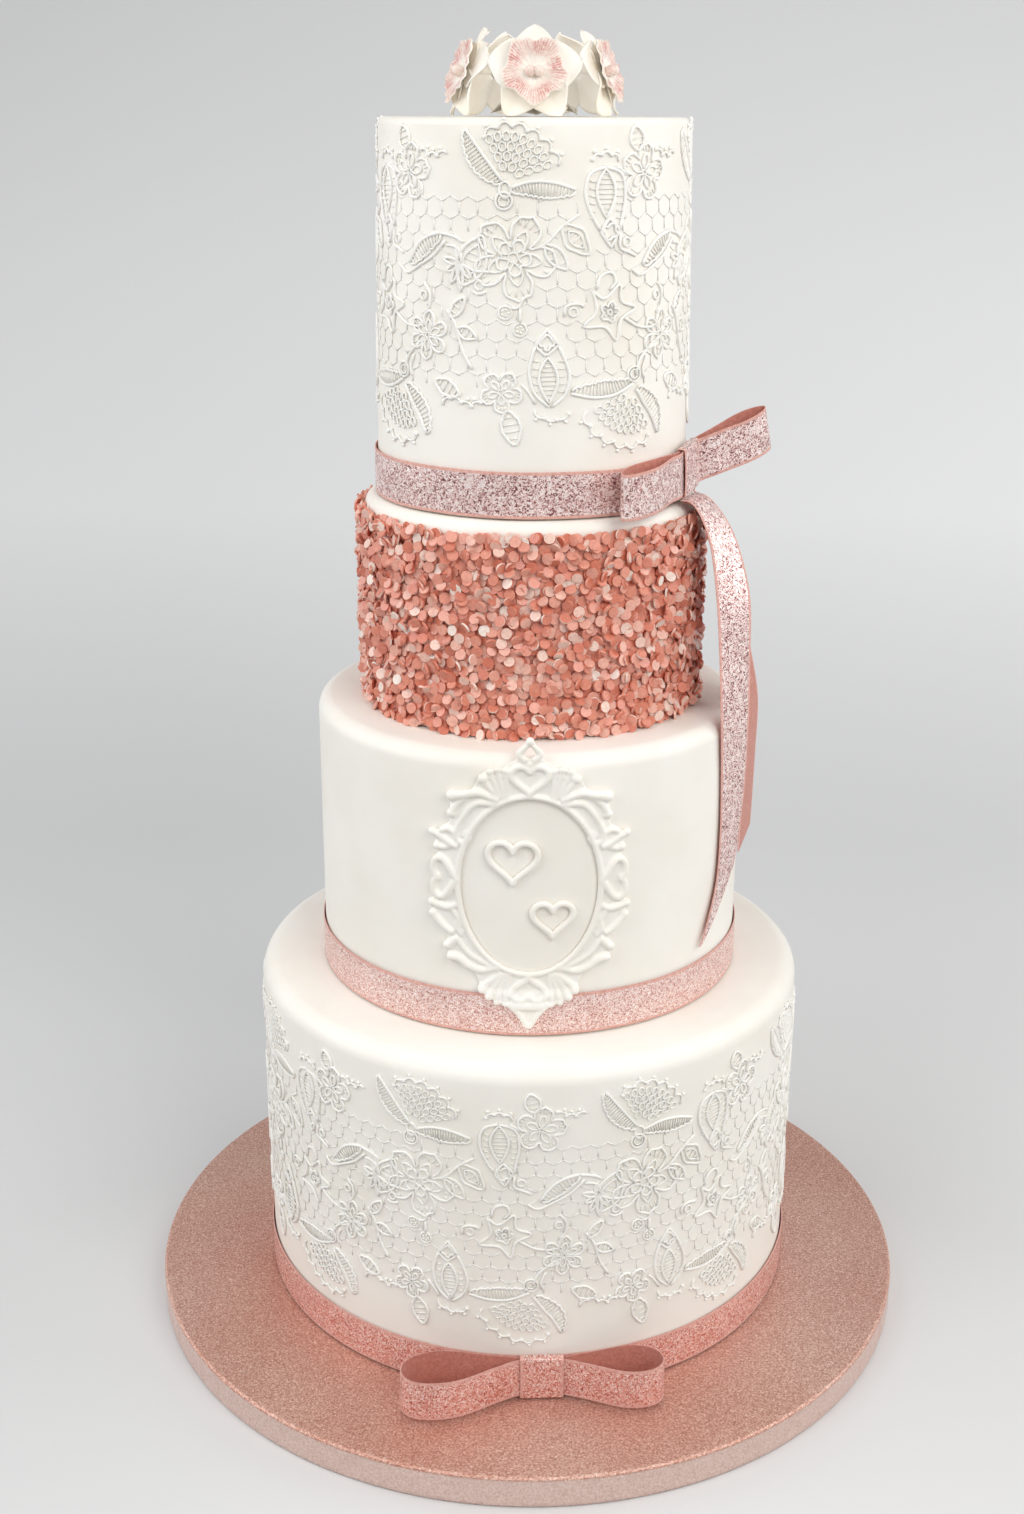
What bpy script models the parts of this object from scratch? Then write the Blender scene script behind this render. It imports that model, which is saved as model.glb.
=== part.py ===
"""A four-tier wedding cake on a foil-covered drum.

The tiers stand on each other, dressed with sugar lace, glitter ribbons with two bows, a coat of
sugar sequins, a moulded oval frame and a cluster of sugar orchids. Units are metres, +Z is up, the
origin is at the bottom centre of the drum and the front of the cake faces -Y. An azimuth is an
angle from the front, positive towards +X.
"""

import math

import bmesh
import bpy
from mathutils import Vector

# Driving dimensions.
GAP = 0.0003
SEGMENTS = 60
EDGE_STEPS = 3
SHARP_ANGLE = math.radians(35)

DRUM_RADIUS = 0.1465
DRUM_HEIGHT = 0.0125
DRUM_EDGE = 0.0012

BOTTOM_RADIUS = 0.1022
BOTTOM_TOP = 0.1422
BOTTOM_EDGE = 0.0065
LOWER_RADIUS = 0.0778
LOWER_TOP = 0.2449
LOWER_EDGE = 0.0055
SEQUIN_TIER_RADIUS = 0.0590
SEQUIN_TIER_TOP = 0.3186
SEQUIN_TIER_EDGE = 0.0040
TOP_RADIUS = 0.0544
TOP_TAPER = 0.0024
TOP_TOP = 0.4431
TOP_EDGE = 0.0025

COAT_THICKNESS = 0.0027
COAT_ROUGHNESS = 0.0004
COAT_ROWS = 3

LACE_THICKNESS = 0.0008
BOTTOM_LACE_LOW = 0.0420
BOTTOM_LACE_HIGH = 0.1330
TOP_LACE_LOW = 0.3480
TOP_LACE_HIGH = 0.4375
LACE_WAVE = 0.0040

RIBBON_WIDTH = 0.0156
RIBBON_THICKNESS = 0.0004

FRAME_CENTRE_HEIGHT = 0.1989
FRAME_INNER_HALF = (0.0234, 0.0322)
FRAME_OUTER_HALF = (0.0330, 0.0420)
FRAME_LOBES = 16
FRAME_LOBE_DEPTH = 0.05
FRAME_FINIAL = 0.0084
FRAME_FINIAL_SPREAD = math.radians(7)
FRAME_RELIEF = 0.0030
FRAME_STATIONS = 64
# The frame's section: share of the way from its inner to its outer edge, and share of its relief.
FRAME_SECTION = ((0.0, 0.0), (0.12, 0.75), (0.45, 1.0), (0.88, 0.8), (1.0, 0.0))
RIBBON_STEP = 0.003

HEART_STATIONS = 16
HEART_INNER = 0.68
HEART_RELIEF = 0.0016
# The heart's section: share of the outline's size, and height above the wall.
HEART_SECTION = ((HEART_INNER, 0.0), (1.0, 0.0), (0.94, HEART_RELIEF), (HEART_INNER + 0.06, HEART_RELIEF))

ORCHID_RADIUS = 0.0148
ORCHID_RING_RADIUS = 0.0242
ORCHID_HEIGHT = 0.0138
MIDDLE_ORCHID_HEIGHT = 0.0040
ORCHID_SIDES = 30
PETAL_COUNT = 5
PETAL_THICKNESS = 0.0009
PETAL_ROOT = 0.45
PETAL_SWEEP = 0.0042
LIP_RADIUS = 0.0078
LIP_SIDES = 15
LIP_FRILL = 0.07
LIP_CLEARANCE = 0.0005
# Radius and height of the lip's rings, as shares of its radius: up the outside and back inside.
LIP_PROFILE = ((0.30, 0.0), (1.0, 0.56), (0.94, 0.72), (0.25, 0.30))
PETAL_VALLEY = 0.45
PETAL_POINT = 0.7

# Colour, roughness and metallic value of each material.
FINISHES = {
    "foil": ((0.55, 0.30, 0.24), 0.35, 0.6),
    "fondant": ((0.90, 0.88, 0.82), 0.55, 0.0),
    "lace": ((0.91, 0.89, 0.84), 0.60, 0.0),
    "ribbon": ((0.60, 0.32, 0.31), 0.35, 0.5),
    "ribbon_back": ((0.80, 0.50, 0.42), 0.70, 0.0),
    "sequins": ((0.80, 0.38, 0.28), 0.35, 0.2),
    "moulded_sugar": ((0.92, 0.91, 0.86), 0.50, 0.0),
    "petal": ((0.93, 0.90, 0.80), 0.55, 0.0),
    "lip": ((0.85, 0.60, 0.57), 0.55, 0.0),
}


def clear_scene():
    """Removes every object that is already in the file."""
    for old in list(bpy.data.objects):
        bpy.data.objects.remove(old)


def make_materials():
    """One Principled BSDF material for each finish."""
    made = {}
    for name, (colour, roughness, metallic) in FINISHES.items():
        material = bpy.data.materials.new(name)
        material.use_nodes = True
        shader = material.node_tree.nodes["Principled BSDF"]
        shader.inputs["Base Color"].default_value = (*colour, 1.0)
        shader.inputs["Roughness"].default_value = roughness
        shader.inputs["Metallic"].default_value = metallic
        made[name] = material
    return made


def loft(name, rings, material, closed, twisted=False):
    """A closed body whose skin runs through rings of points.

    A closed loft joins its last ring to its first, like a hoop; an open one is capped at both ends.
    A twisted one is split into triangles, because its four-sided faces aren't flat.
    """
    bm = bmesh.new()
    rows = [[bm.verts.new(point) for point in ring] for ring in rings]
    count = len(rows[0])
    pairs = list(zip(rows, rows[1:]))
    if closed:
        pairs.append((rows[-1], rows[0]))
    for one, two in pairs:
        for i in range(count):
            j = (i + 1) % count
            bm.faces.new((one[i], one[j], two[j], two[i]))
    if not closed:
        bm.faces.new(rows[0][::-1])
        bm.faces.new(rows[-1])
    bmesh.ops.recalc_face_normals(bm, faces=bm.faces)
    if twisted:
        bmesh.ops.triangulate(bm, faces=bm.faces[:])
    mesh = bpy.data.meshes.new(name)
    bm.to_mesh(mesh)
    bm.free()
    mesh.shade_smooth()
    mesh.set_sharp_from_angle(angle=SHARP_ANGLE)
    mesh.materials.append(material)
    obj = bpy.data.objects.new(name, mesh)
    bpy.context.scene.collection.objects.link(obj)
    return obj


def on_axis(azimuth, radius, height):
    """The point at an azimuth and a radius from the cake's axis."""
    return Vector((radius * math.sin(azimuth), -radius * math.cos(azimuth), height))


def azimuths():
    """The azimuths that every turned piece shares, so that faces of neighbours stay parallel."""
    return [2 * math.pi * i / SEGMENTS for i in range(SEGMENTS)]


def turned(name, profile, material):
    """A solid of revolution from (radius, height) pairs, bottom to top, with flat ends."""
    rings = [[on_axis(a, radius, height) for a in azimuths()] for radius, height in profile]
    return loft(name, rings, material, closed=False)


def rounded_top(radius, top, edge):
    """The quarter-round profile points of a tier's upper edge."""
    points = []
    for step in range(EDGE_STEPS + 1):
        angle = step * math.pi / 2 / EDGE_STEPS
        points.append((radius - edge + edge * math.cos(angle), top - edge + edge * math.sin(angle)))
    return points


def make_drum(materials):
    """The round cake drum, its foil edges slightly eased."""
    profile = [
        (DRUM_RADIUS - DRUM_EDGE, 0.0),
        (DRUM_RADIUS, DRUM_EDGE),
        (DRUM_RADIUS, DRUM_HEIGHT - DRUM_EDGE),
        (DRUM_RADIUS - DRUM_EDGE, DRUM_HEIGHT),
    ]
    turned("cake_drum", profile, materials["foil"])


def make_tiers(materials):
    """The four iced cakes, each resting on the one below."""
    tiers = [
        ("tier_bottom", BOTTOM_RADIUS, 0.0, DRUM_HEIGHT, BOTTOM_TOP, BOTTOM_EDGE),
        ("tier_lower", LOWER_RADIUS, 0.0, BOTTOM_TOP, LOWER_TOP, LOWER_EDGE),
        ("tier_sequin", SEQUIN_TIER_RADIUS, 0.0, LOWER_TOP, SEQUIN_TIER_TOP, SEQUIN_TIER_EDGE),
        ("tier_top", TOP_RADIUS, TOP_TAPER, SEQUIN_TIER_TOP, TOP_TOP, TOP_EDGE),
    ]
    for name, radius, taper, below, top, edge in tiers:
        profile = [(radius, below + GAP)] + rounded_top(radius - taper, top, edge)
        turned(name, profile, materials["fondant"])


def hoop(name, inner, outer, low, high, material):
    """A band round the cake; its radii and heights are functions of azimuth (and height for radii)."""
    rings = []
    for a in azimuths():
        bottom, top = low(a), high(a)
        rings.append([
            on_axis(a, inner(a, bottom), bottom),
            on_axis(a, outer(a, bottom), bottom),
            on_axis(a, outer(a, top), top),
            on_axis(a, inner(a, top), top),
        ])
    return loft(name, rings, material, closed=True)


def top_wall(height):
    """The top tier's radius at a height, as it narrows slightly upwards."""
    share = (height - SEQUIN_TIER_TOP) / (TOP_TOP - TOP_EDGE - SEQUIN_TIER_TOP)
    return TOP_RADIUS - TOP_TAPER * share


def make_sequin_coat(materials):
    """The coat of overlapping sugar sequins, one uneven sleeve out to their faces."""
    low = LOWER_TOP + 2 * GAP
    high = SEQUIN_TIER_TOP - SEQUIN_TIER_EDGE
    rings = []
    for a in azimuths():
        inner = SEQUIN_TIER_RADIUS + GAP
        ring = [on_axis(a, inner, high), on_axis(a, inner, low)]
        for row in range(COAT_ROWS):
            height = low + (high - low) * row / (COAT_ROWS - 1)
            wave = math.sin(7 * a + 2.1 * row) + math.sin(19 * a - 1.3 * row)
            outer = SEQUIN_TIER_RADIUS + COAT_THICKNESS + COAT_ROUGHNESS * wave / 2
            ring.append(on_axis(a, outer, height))
        rings.append(ring)
    loft("sequin_coat", rings, materials["sequins"], closed=True)


def make_lace(materials):
    """Two thin sugar lace bands whose edges follow the scallops of the pattern."""
    hoop(
        "lace_bottom",
        lambda a, z: BOTTOM_RADIUS + GAP,
        lambda a, z: BOTTOM_RADIUS + GAP + LACE_THICKNESS,
        lambda a: BOTTOM_LACE_LOW + LACE_WAVE * math.sin(6 * a + 0.8) + LACE_WAVE * math.sin(10 * a),
        lambda a: BOTTOM_LACE_HIGH + LACE_WAVE / 2 * math.sin(8 * a + 0.5),
        materials["lace"],
    )
    hoop(
        "lace_top",
        lambda a, z: top_wall(z) + GAP,
        lambda a, z: top_wall(z) + GAP + LACE_THICKNESS,
        lambda a: TOP_LACE_LOW + LACE_WAVE * math.sin(5 * a + 0.4),
        lambda a: TOP_LACE_HIGH,
        materials["lace"],
    )


def make_bands(materials):
    """The ribbon round the foot of three of the tiers."""
    bands = [
        ("ribbon_bottom", BOTTOM_RADIUS, DRUM_HEIGHT),
        ("ribbon_lower", LOWER_RADIUS, BOTTOM_TOP),
        ("ribbon_top", TOP_RADIUS, SEQUIN_TIER_TOP),
    ]
    for name, radius, below in bands:
        hoop(
            name,
            lambda a, z, r=radius: r + GAP,
            lambda a, z, r=radius: r + GAP + RIBBON_THICKNESS,
            lambda a, z=below: z + GAP,
            lambda a, z=below: z + GAP + RIBBON_WIDTH,
            materials["ribbon"],
        )


def smooth_step(t):
    """0 below 0, 1 above 1 and an even ease between."""
    t = min(1.0, max(0.0, t))
    return t * t * (3 - 2 * t)


def strip_ring(centre, across, normal, low, high):
    """The four corners of a ribbon's section, from offset low to high across its width."""
    lift = normal * (RIBBON_THICKNESS / 2)
    return [
        centre + across * low - lift,
        centre + across * high - lift,
        centre + across * high + lift,
        centre + across * low + lift,
    ]


def tangent_at(points, i, closed):
    """The direction of a run of points at one of them."""
    last = len(points) - 1
    before = points[i - 1] if closed or i > 0 else points[0]
    after = points[(i + 1) % len(points)] if closed or i < last else points[last]
    return (after - before).normalized()


# The bows. A bow's own axes are: along, level round the tier; out, away from the tier; up.
BOW_PINCH = 0.0012
KNOT_HALF = RIBBON_WIDTH / 2
KNOT_INSET = 0.0060
LOOP_STATIONS = 16
LOOP_SHAPE = 1.6
LOOP_TURN_LENGTH = 0.008
KNOT_CORNER_STEPS = 2
KNOT_HALF_HEIGHT = RIBBON_WIDTH / 2 + GAP + RIBBON_THICKNESS / 2
KNOT_HALF_DEPTH = BOW_PINCH / 2 + RIBBON_THICKNESS + GAP
KNOT_CORNER = 0.0005


def bow_axes(azimuth, roll):
    """The along, out and up directions of a bow whose right end is rolled upwards."""
    level = Vector((math.cos(azimuth), math.sin(azimuth), 0.0))
    out = Vector((math.sin(azimuth), -math.cos(azimuth), 0.0))
    rise = Vector((0.0, 0.0, 1.0))
    along = level * math.cos(roll) + rise * math.sin(roll)
    up = rise * math.cos(roll) - level * math.sin(roll)
    return along, out, up


def loop_outline(reach, depth):
    """A teardrop of (distance from the knot, offset) pairs, with its two layers together in the knot."""
    points = [(-KNOT_INSET, BOW_PINCH / 2)]
    for i in range(LOOP_STATIONS + 1):
        phi = 2 * math.pi * i / LOOP_STATIONS
        belly = math.sin(phi) * abs(math.sin(phi / 2)) ** LOOP_SHAPE
        offset = depth / 2 * belly + BOW_PINCH / 2 * math.cos(phi / 2)
        points.append((reach * (1 - math.cos(phi)) / 2, offset))
    points.append((-KNOT_INSET, -BOW_PINCH / 2))
    return points


def make_loop(name, centre, axes, side, reach, depth, turn, tilt, material):
    """One loop of a bow: it leaves the knot sideways, then turns outwards and tilts upwards."""
    along, out, up = axes
    along = along * side
    edge = centre + along * KNOT_HALF
    centres = []
    acrosses = []
    for distance, offset in loop_outline(reach, depth):
        share = smooth_step(distance / LOOP_TURN_LENGTH)
        yaw, pitch = turn * share, tilt * share
        ahead = along * math.cos(yaw) + out * math.sin(yaw)
        away = out * math.cos(yaw) - along * math.sin(yaw)
        centres.append(edge + (ahead * math.cos(pitch) + up * math.sin(pitch)) * distance + away * offset)
        acrosses.append(up * math.cos(pitch) - ahead * math.sin(pitch))
    rings = []
    for i, (point, across) in enumerate(zip(centres, acrosses)):
        normal = tangent_at(centres, i, closed=False).cross(across).normalized()
        rings.append(strip_ring(point, across, normal, -RIBBON_WIDTH / 2, RIBBON_WIDTH / 2))
    loft(name, rings, material, closed=False)


def make_knot(name, centre, axes, material):
    """The short wrap of ribbon that holds a bow's loops together."""
    along, out, up = axes
    points = []
    for out_sign, up_sign, start in ((1, 1, 0), (-1, 1, 1), (-1, -1, 2), (1, -1, 3)):
        for step in range(KNOT_CORNER_STEPS + 1):
            angle = (start + step / KNOT_CORNER_STEPS) * math.pi / 2
            depth = out_sign * (KNOT_HALF_DEPTH - KNOT_CORNER) + KNOT_CORNER * math.cos(angle)
            height = up_sign * (KNOT_HALF_HEIGHT - KNOT_CORNER) + KNOT_CORNER * math.sin(angle)
            points.append(centre + out * depth + up * height)
    rings = []
    for i, point in enumerate(points):
        normal = tangent_at(points, i, closed=True).cross(along).normalized()
        rings.append(strip_ring(point, along, normal, -KNOT_HALF, KNOT_HALF))
    loft(name, rings, material, closed=True)


FRONT_BOW_AZIMUTH = math.radians(3)
FRONT_BOW_HEIGHT = DRUM_HEIGHT + 0.0089
SIDE_BOW_AZIMUTH = math.radians(68)
SIDE_BOW_HEIGHT = 0.3302
SIDE_BOW_ROLL = math.radians(6)


def make_bows(materials):
    """The bow at the front of the bottom ribbon and the bow at the right of the top one."""
    ribbon = materials["ribbon"]
    bows = [
        ("front_bow", FRONT_BOW_AZIMUTH, BOTTOM_RADIUS, FRONT_BOW_HEIGHT, 0.0, [
            ("left", -1, 0.0425, 0.0245, math.radians(8), math.radians(1)),
            ("right", 1, 0.0355, 0.0200, math.radians(4), math.radians(1)),
        ]),
        ("side_bow", SIDE_BOW_AZIMUTH, TOP_RADIUS, SIDE_BOW_HEIGHT, SIDE_BOW_ROLL, [
            ("left", -1, 0.0380, 0.0105, math.radians(-11), math.radians(3)),
            ("right", 1, 0.0335, 0.0095, math.radians(33), math.radians(11)),
        ]),
    ]
    for prefix, azimuth, radius, height, roll, loops in bows:
        depth = 3 * GAP + 2 * RIBBON_THICKNESS + KNOT_HALF_DEPTH
        centre = on_axis(azimuth, radius + depth, height)
        axes = bow_axes(azimuth, roll)
        make_knot(f"{prefix}_knot", centre, axes, ribbon)
        for label, side, reach, belly, turn, tilt in loops:
            make_loop(f"{prefix}_loop_{label}", centre, axes, side, reach, belly, turn, tilt, ribbon)


# The tails hang from under the side bow. Each stop is (azimuth in degrees, radius, height, facing
# azimuth in degrees): out over the lip, down past the sequins and along the lower tier.
FRONT_TAIL = [
    (68.0, 0.0576, 0.3203, 68),
    (67.5, 0.0635, 0.3185, 64),
    (67.5, 0.0707, 0.3068, 51),
    (65.1, 0.0766, 0.2872, 37),
    (63.4, 0.0790, 0.2668, 41),
    (61.9, 0.0808, 0.2458, 45),
    (63.8, 0.0802, 0.2246, 49),
    (64.4, 0.0797, 0.2060, 55),
    (63.2, 0.0790, 0.1870, 61),
    (58.7, 0.0789, 0.1720, 59),
    (55.5, 0.0789, 0.1640, 56),
]
FRONT_TAIL_CUT = 0.0230
BACK_TAIL_CUT = 0.0060
BACK_TAIL = [
    (70.0, 0.0578, 0.3193, 70),
    (71.0, 0.0630, 0.3168, 70),
    (72.0, 0.0672, 0.3050, 69),
    (76.0, 0.0730, 0.2850, 68),
    (78.0, 0.0780, 0.2620, 67),
    (78.5, 0.0812, 0.2440, 67),
    (78.6, 0.0813, 0.2250, 68),
    (78.6, 0.0810, 0.2050, 68),
    (78.6, 0.0806, 0.1890, 68),
]
TAIL_STEPS = 2
TIP_WIDTH = 0.0020


def between(stops, i, t):
    """Values on the smooth (Catmull-Rom) run between stop i and the next."""
    p0 = stops[max(i - 1, 0)]
    p1, p2 = stops[i], stops[i + 1]
    p3 = stops[min(i + 2, len(stops) - 1)]
    values = []
    for a, b, c, d in zip(p0, p1, p2, p3):
        bend = 2 * a - 5 * b + 4 * c - d
        values.append(b + 0.5 * t * ((c - a) + t * (bend + t * (3 * b - a - 3 * c + d))))
    return values


def make_tail(name, stops, cut_length, material):
    """A hanging ribbon end; over the last cut_length of height its right edge draws in to a tip."""
    route = [between(stops, i, k / TAIL_STEPS) for i in range(len(stops) - 1) for k in range(TAIL_STEPS)]
    route.append(list(stops[-1]))
    centres = [on_axis(math.radians(a), r, z) for a, r, z, facing in route]
    lowest = route[-1][2]
    half = RIBBON_WIDTH / 2
    rings = []
    for i, (_, _, height, facing) in enumerate(route):
        angle = math.radians(facing)
        across = Vector((math.cos(angle), math.sin(angle), 0.0))
        normal = tangent_at(centres, i, closed=False).cross(across).normalized()
        share = max(0.0, 1 - (height - lowest) / cut_length)
        cut = share * (RIBBON_WIDTH - TIP_WIDTH)
        rings.append(strip_ring(centres[i], across, normal, -half, half - cut))
    loft(name, rings, material, closed=False, twisted=True)


def frame_bounds(angle):
    """The inner and outer radius of the moulded frame at an angle about its own centre."""
    c, s = math.cos(angle), math.sin(angle)
    inner = 1 / math.hypot(c / FRAME_INNER_HALF[0], s / FRAME_INNER_HALF[1])
    outer = 1 / math.hypot(c / FRAME_OUTER_HALF[0], s / FRAME_OUTER_HALF[1])
    outer *= 1 + FRAME_LOBE_DEPTH * math.cos(FRAME_LOBES * angle)
    for pole in (math.pi / 2, 3 * math.pi / 2):
        outer += FRAME_FINIAL * math.exp(-(((angle - pole) / FRAME_FINIAL_SPREAD) ** 2))
    return inner, outer


def on_lower_tier(across, height, lift):
    """A point on the lower tier's wall; below the ribbon's top edge the wall is the ribbon's face."""
    over_ribbon = 1 - smooth_step((height - BOTTOM_TOP - RIBBON_WIDTH - 2 * GAP) / RIBBON_STEP)
    radius = LOWER_RADIUS + 2 * GAP + (RIBBON_THICKNESS + GAP) * over_ribbon
    return on_axis(across / LOWER_RADIUS, radius + lift, height)


def make_frame(materials):
    """The moulded oval frame with lobes, and a pointed finial at its top and bottom."""
    rings = []
    for i in range(FRAME_STATIONS):
        angle = 2 * math.pi * i / FRAME_STATIONS
        inner, outer = frame_bounds(angle)
        ring = []
        for share, lift in FRAME_SECTION:
            radius = inner + (outer - inner) * share
            across, rise = radius * math.cos(angle), radius * math.sin(angle)
            ring.append(on_lower_tier(across, FRAME_CENTRE_HEIGHT + rise, FRAME_RELIEF * lift))
        rings.append(ring)
    loft("plaque_frame", rings, materials["moulded_sugar"], closed=True)


def make_heart(name, across, height, width, material):
    """An open heart outline, flat on the wall inside the frame."""
    unit = width / 32
    rings = []
    for i in range(HEART_STATIONS):
        t = 2 * math.pi * (i + 0.5) / HEART_STATIONS
        x = 16 * math.sin(t) ** 3
        y = 13 * math.cos(t) - 5 * math.cos(2 * t) - 2 * math.cos(3 * t) - math.cos(4 * t)
        ring = []
        for scale, lift in HEART_SECTION:
            ring.append(on_lower_tier(across + x * unit * scale, height + y * unit * scale, lift))
        rings.append(ring)
    loft(name, rings, material, closed=True)


# Each flower of the cluster: name, azimuth and backward lean in degrees.
ORCHIDS = [
    ("orchid_front", 0, 12),
    ("orchid_right", 72, 20),
    ("orchid_back_right", 144, 24),
    ("orchid_back_left", 216, 24),
    ("orchid_left", 288, 20),
]


def orchid_axes(azimuth, lean):
    """The side, up and facing directions of a flower that leans back by an angle."""
    side = Vector((math.cos(azimuth), math.sin(azimuth), 0.0))
    level = Vector((math.sin(azimuth), -math.cos(azimuth), 0.0))
    rise = Vector((0.0, 0.0, 1.0))
    facing = level * math.cos(lean) + rise * math.sin(lean)
    up = rise * math.cos(lean) - level * math.sin(lean)
    return side, up, facing


def petal_reach(phi):
    """How far the five petals reach at an angle from the topmost one."""
    lobe = abs(math.cos(PETAL_COUNT * phi / 2)) ** PETAL_POINT
    return ORCHID_RADIUS * (PETAL_VALLEY + (1 - PETAL_VALLEY) * lobe)


def make_orchid(name, centre, axes, materials):
    """One sugar orchid: a shallow star of petals and a trumpet-shaped lip in its middle."""
    side, up, facing = axes
    sides = [2 * math.pi * i / ORCHID_SIDES for i in range(ORCHID_SIDES)]
    rings = []
    for share, depth in ((PETAL_ROOT, 0.0), (1.0, 0.0), (1.0, 1.0), (PETAL_ROOT, 1.0)):
        ring = []
        for phi in sides:
            reach = petal_reach(phi) * share
            back = PETAL_SWEEP * (share - PETAL_ROOT) + PETAL_THICKNESS * depth
            spot = side * (reach * math.sin(phi)) + up * (reach * math.cos(phi))
            ring.append(centre + spot - facing * back)
        rings.append(ring)
    loft(f"{name}_petals", rings, materials["petal"], closed=False)
    lip_rings = []
    base = centre + facing * LIP_CLEARANCE
    for radius, height in LIP_PROFILE:
        ring = []
        for i in range(LIP_SIDES):
            phi = 2 * math.pi * i / LIP_SIDES
            frill = 1 + LIP_FRILL * radius * math.cos(PETAL_COUNT * phi)
            reach = LIP_RADIUS * radius * frill
            spot = side * (reach * math.sin(phi)) + up * (reach * math.cos(phi))
            ring.append(base + spot + facing * (LIP_RADIUS * height))
        lip_rings.append(ring)
    loft(f"{name}_lip", lip_rings, materials["lip"], closed=False)


def make_orchids(materials):
    """A ring of flowers that face outwards, round one that lies face up."""
    for name, degrees, lean in ORCHIDS:
        azimuth = math.radians(degrees)
        centre = on_axis(azimuth, ORCHID_RING_RADIUS, TOP_TOP + ORCHID_HEIGHT)
        make_orchid(name, centre, orchid_axes(azimuth, math.radians(lean)), materials)
    centre = on_axis(0.0, 0.0, TOP_TOP + MIDDLE_ORCHID_HEIGHT)
    make_orchid("orchid_middle", centre, orchid_axes(0.0, math.pi / 2), materials)


def main():
    """Builds the whole cake."""
    clear_scene()
    materials = make_materials()
    make_drum(materials)
    make_tiers(materials)
    make_sequin_coat(materials)
    make_lace(materials)
    make_bands(materials)
    make_bows(materials)
    make_tail("side_bow_tail_front", FRONT_TAIL, FRONT_TAIL_CUT, materials["ribbon"])
    make_tail("side_bow_tail_back", BACK_TAIL, BACK_TAIL_CUT, materials["ribbon_back"])
    make_frame(materials)
    make_heart("plaque_heart_upper", -0.0055, 0.2085, 0.0195, materials["moulded_sugar"])
    make_heart("plaque_heart_lower", 0.0080, 0.1875, 0.0160, materials["moulded_sugar"])
    make_orchids(materials)


main()
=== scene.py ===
"""Looks of the tiered wedding cake: iced tiers, sugar lace, sequins, ribbons, bows, frame and orchids.

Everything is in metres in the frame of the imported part: +Z up, the front of the cake faces -Y.
An azimuth is an angle from the front, positive towards +X.
"""
import math

import bmesh
import bpy
import numpy as np
from mathutils import Matrix, Vector


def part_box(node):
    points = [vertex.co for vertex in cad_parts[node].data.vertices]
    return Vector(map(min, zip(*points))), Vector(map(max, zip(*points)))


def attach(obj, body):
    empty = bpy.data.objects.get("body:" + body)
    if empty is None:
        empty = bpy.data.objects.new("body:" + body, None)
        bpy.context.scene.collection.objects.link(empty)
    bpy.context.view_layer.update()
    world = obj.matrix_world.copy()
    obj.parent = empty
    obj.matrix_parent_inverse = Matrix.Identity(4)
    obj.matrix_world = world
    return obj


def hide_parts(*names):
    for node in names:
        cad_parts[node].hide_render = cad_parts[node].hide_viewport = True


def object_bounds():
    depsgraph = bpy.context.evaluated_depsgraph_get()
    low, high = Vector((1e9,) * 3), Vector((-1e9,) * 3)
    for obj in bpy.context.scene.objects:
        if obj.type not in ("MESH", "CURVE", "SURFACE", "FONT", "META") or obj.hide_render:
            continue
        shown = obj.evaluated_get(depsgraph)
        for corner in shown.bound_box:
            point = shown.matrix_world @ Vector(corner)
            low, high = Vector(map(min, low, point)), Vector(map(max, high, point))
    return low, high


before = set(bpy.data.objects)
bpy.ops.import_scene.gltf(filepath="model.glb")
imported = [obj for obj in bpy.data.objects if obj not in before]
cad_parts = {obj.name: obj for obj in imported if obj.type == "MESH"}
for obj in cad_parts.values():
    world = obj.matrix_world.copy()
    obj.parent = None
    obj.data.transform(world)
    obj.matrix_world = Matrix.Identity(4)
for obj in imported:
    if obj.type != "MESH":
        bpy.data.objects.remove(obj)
CAD_BOX = [list(corner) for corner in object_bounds()]
MM = 0.001
SEED = 20


# ---------------------------------------------------------------- mesh helpers

def unit(v):
    """Vectors of length one along the last axis."""
    v = np.asarray(v, float)
    return v / np.maximum(np.linalg.norm(v, axis=-1, keepdims=True), 1e-12)


def on_axis(azimuth, radius, height):
    """Points at an azimuth and radius from the cake's axis, for numbers or arrays."""
    azimuth, radius, height = np.broadcast_arrays(azimuth, radius, height)
    return np.stack([radius * np.sin(azimuth), -radius * np.cos(azimuth), height], -1)


def add_mesh(name, points, faces, materials, indices=None, smooth=True):
    """A mesh object from points and faces; indices gives each face's material."""
    mesh = bpy.data.meshes.new(name)
    mesh.from_pydata([tuple(p) for p in np.asarray(points, float)], [], [tuple(map(int, f)) for f in faces])
    for material in materials:
        mesh.materials.append(material)
    if indices is not None:
        mesh.polygons.foreach_set("material_index", np.asarray(indices, np.int32))
    if smooth:
        mesh.shade_smooth()
    mesh.validate()
    obj = bpy.data.objects.new(name, mesh)
    bpy.context.scene.collection.objects.link(obj)
    return obj


def face_outwards(obj):
    """Turns every closed shell of a mesh so that its faces point out."""
    bm = bmesh.new()
    bm.from_mesh(obj.data)
    bmesh.ops.recalc_face_normals(bm, faces=bm.faces)
    bm.to_mesh(obj.data)
    bm.free()
    return obj


def grid_faces(rows, columns, wrap_rows=False, wrap_columns=True):
    """Quads of a grid of rows x columns points."""
    r = np.arange(rows if wrap_rows else rows - 1)
    c = np.arange(columns if wrap_columns else columns - 1)
    r, c = [a.ravel() for a in np.meshgrid(r, c, indexing="ij")]
    r2, c2 = (r + 1) % rows, (c + 1) % columns
    return np.stack([r * columns + c, r * columns + c2, r2 * columns + c2, r2 * columns + c], -1)


def round_angles(count):
    """Even angles once round."""
    return np.arange(count) * 2 * math.pi / count


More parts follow.
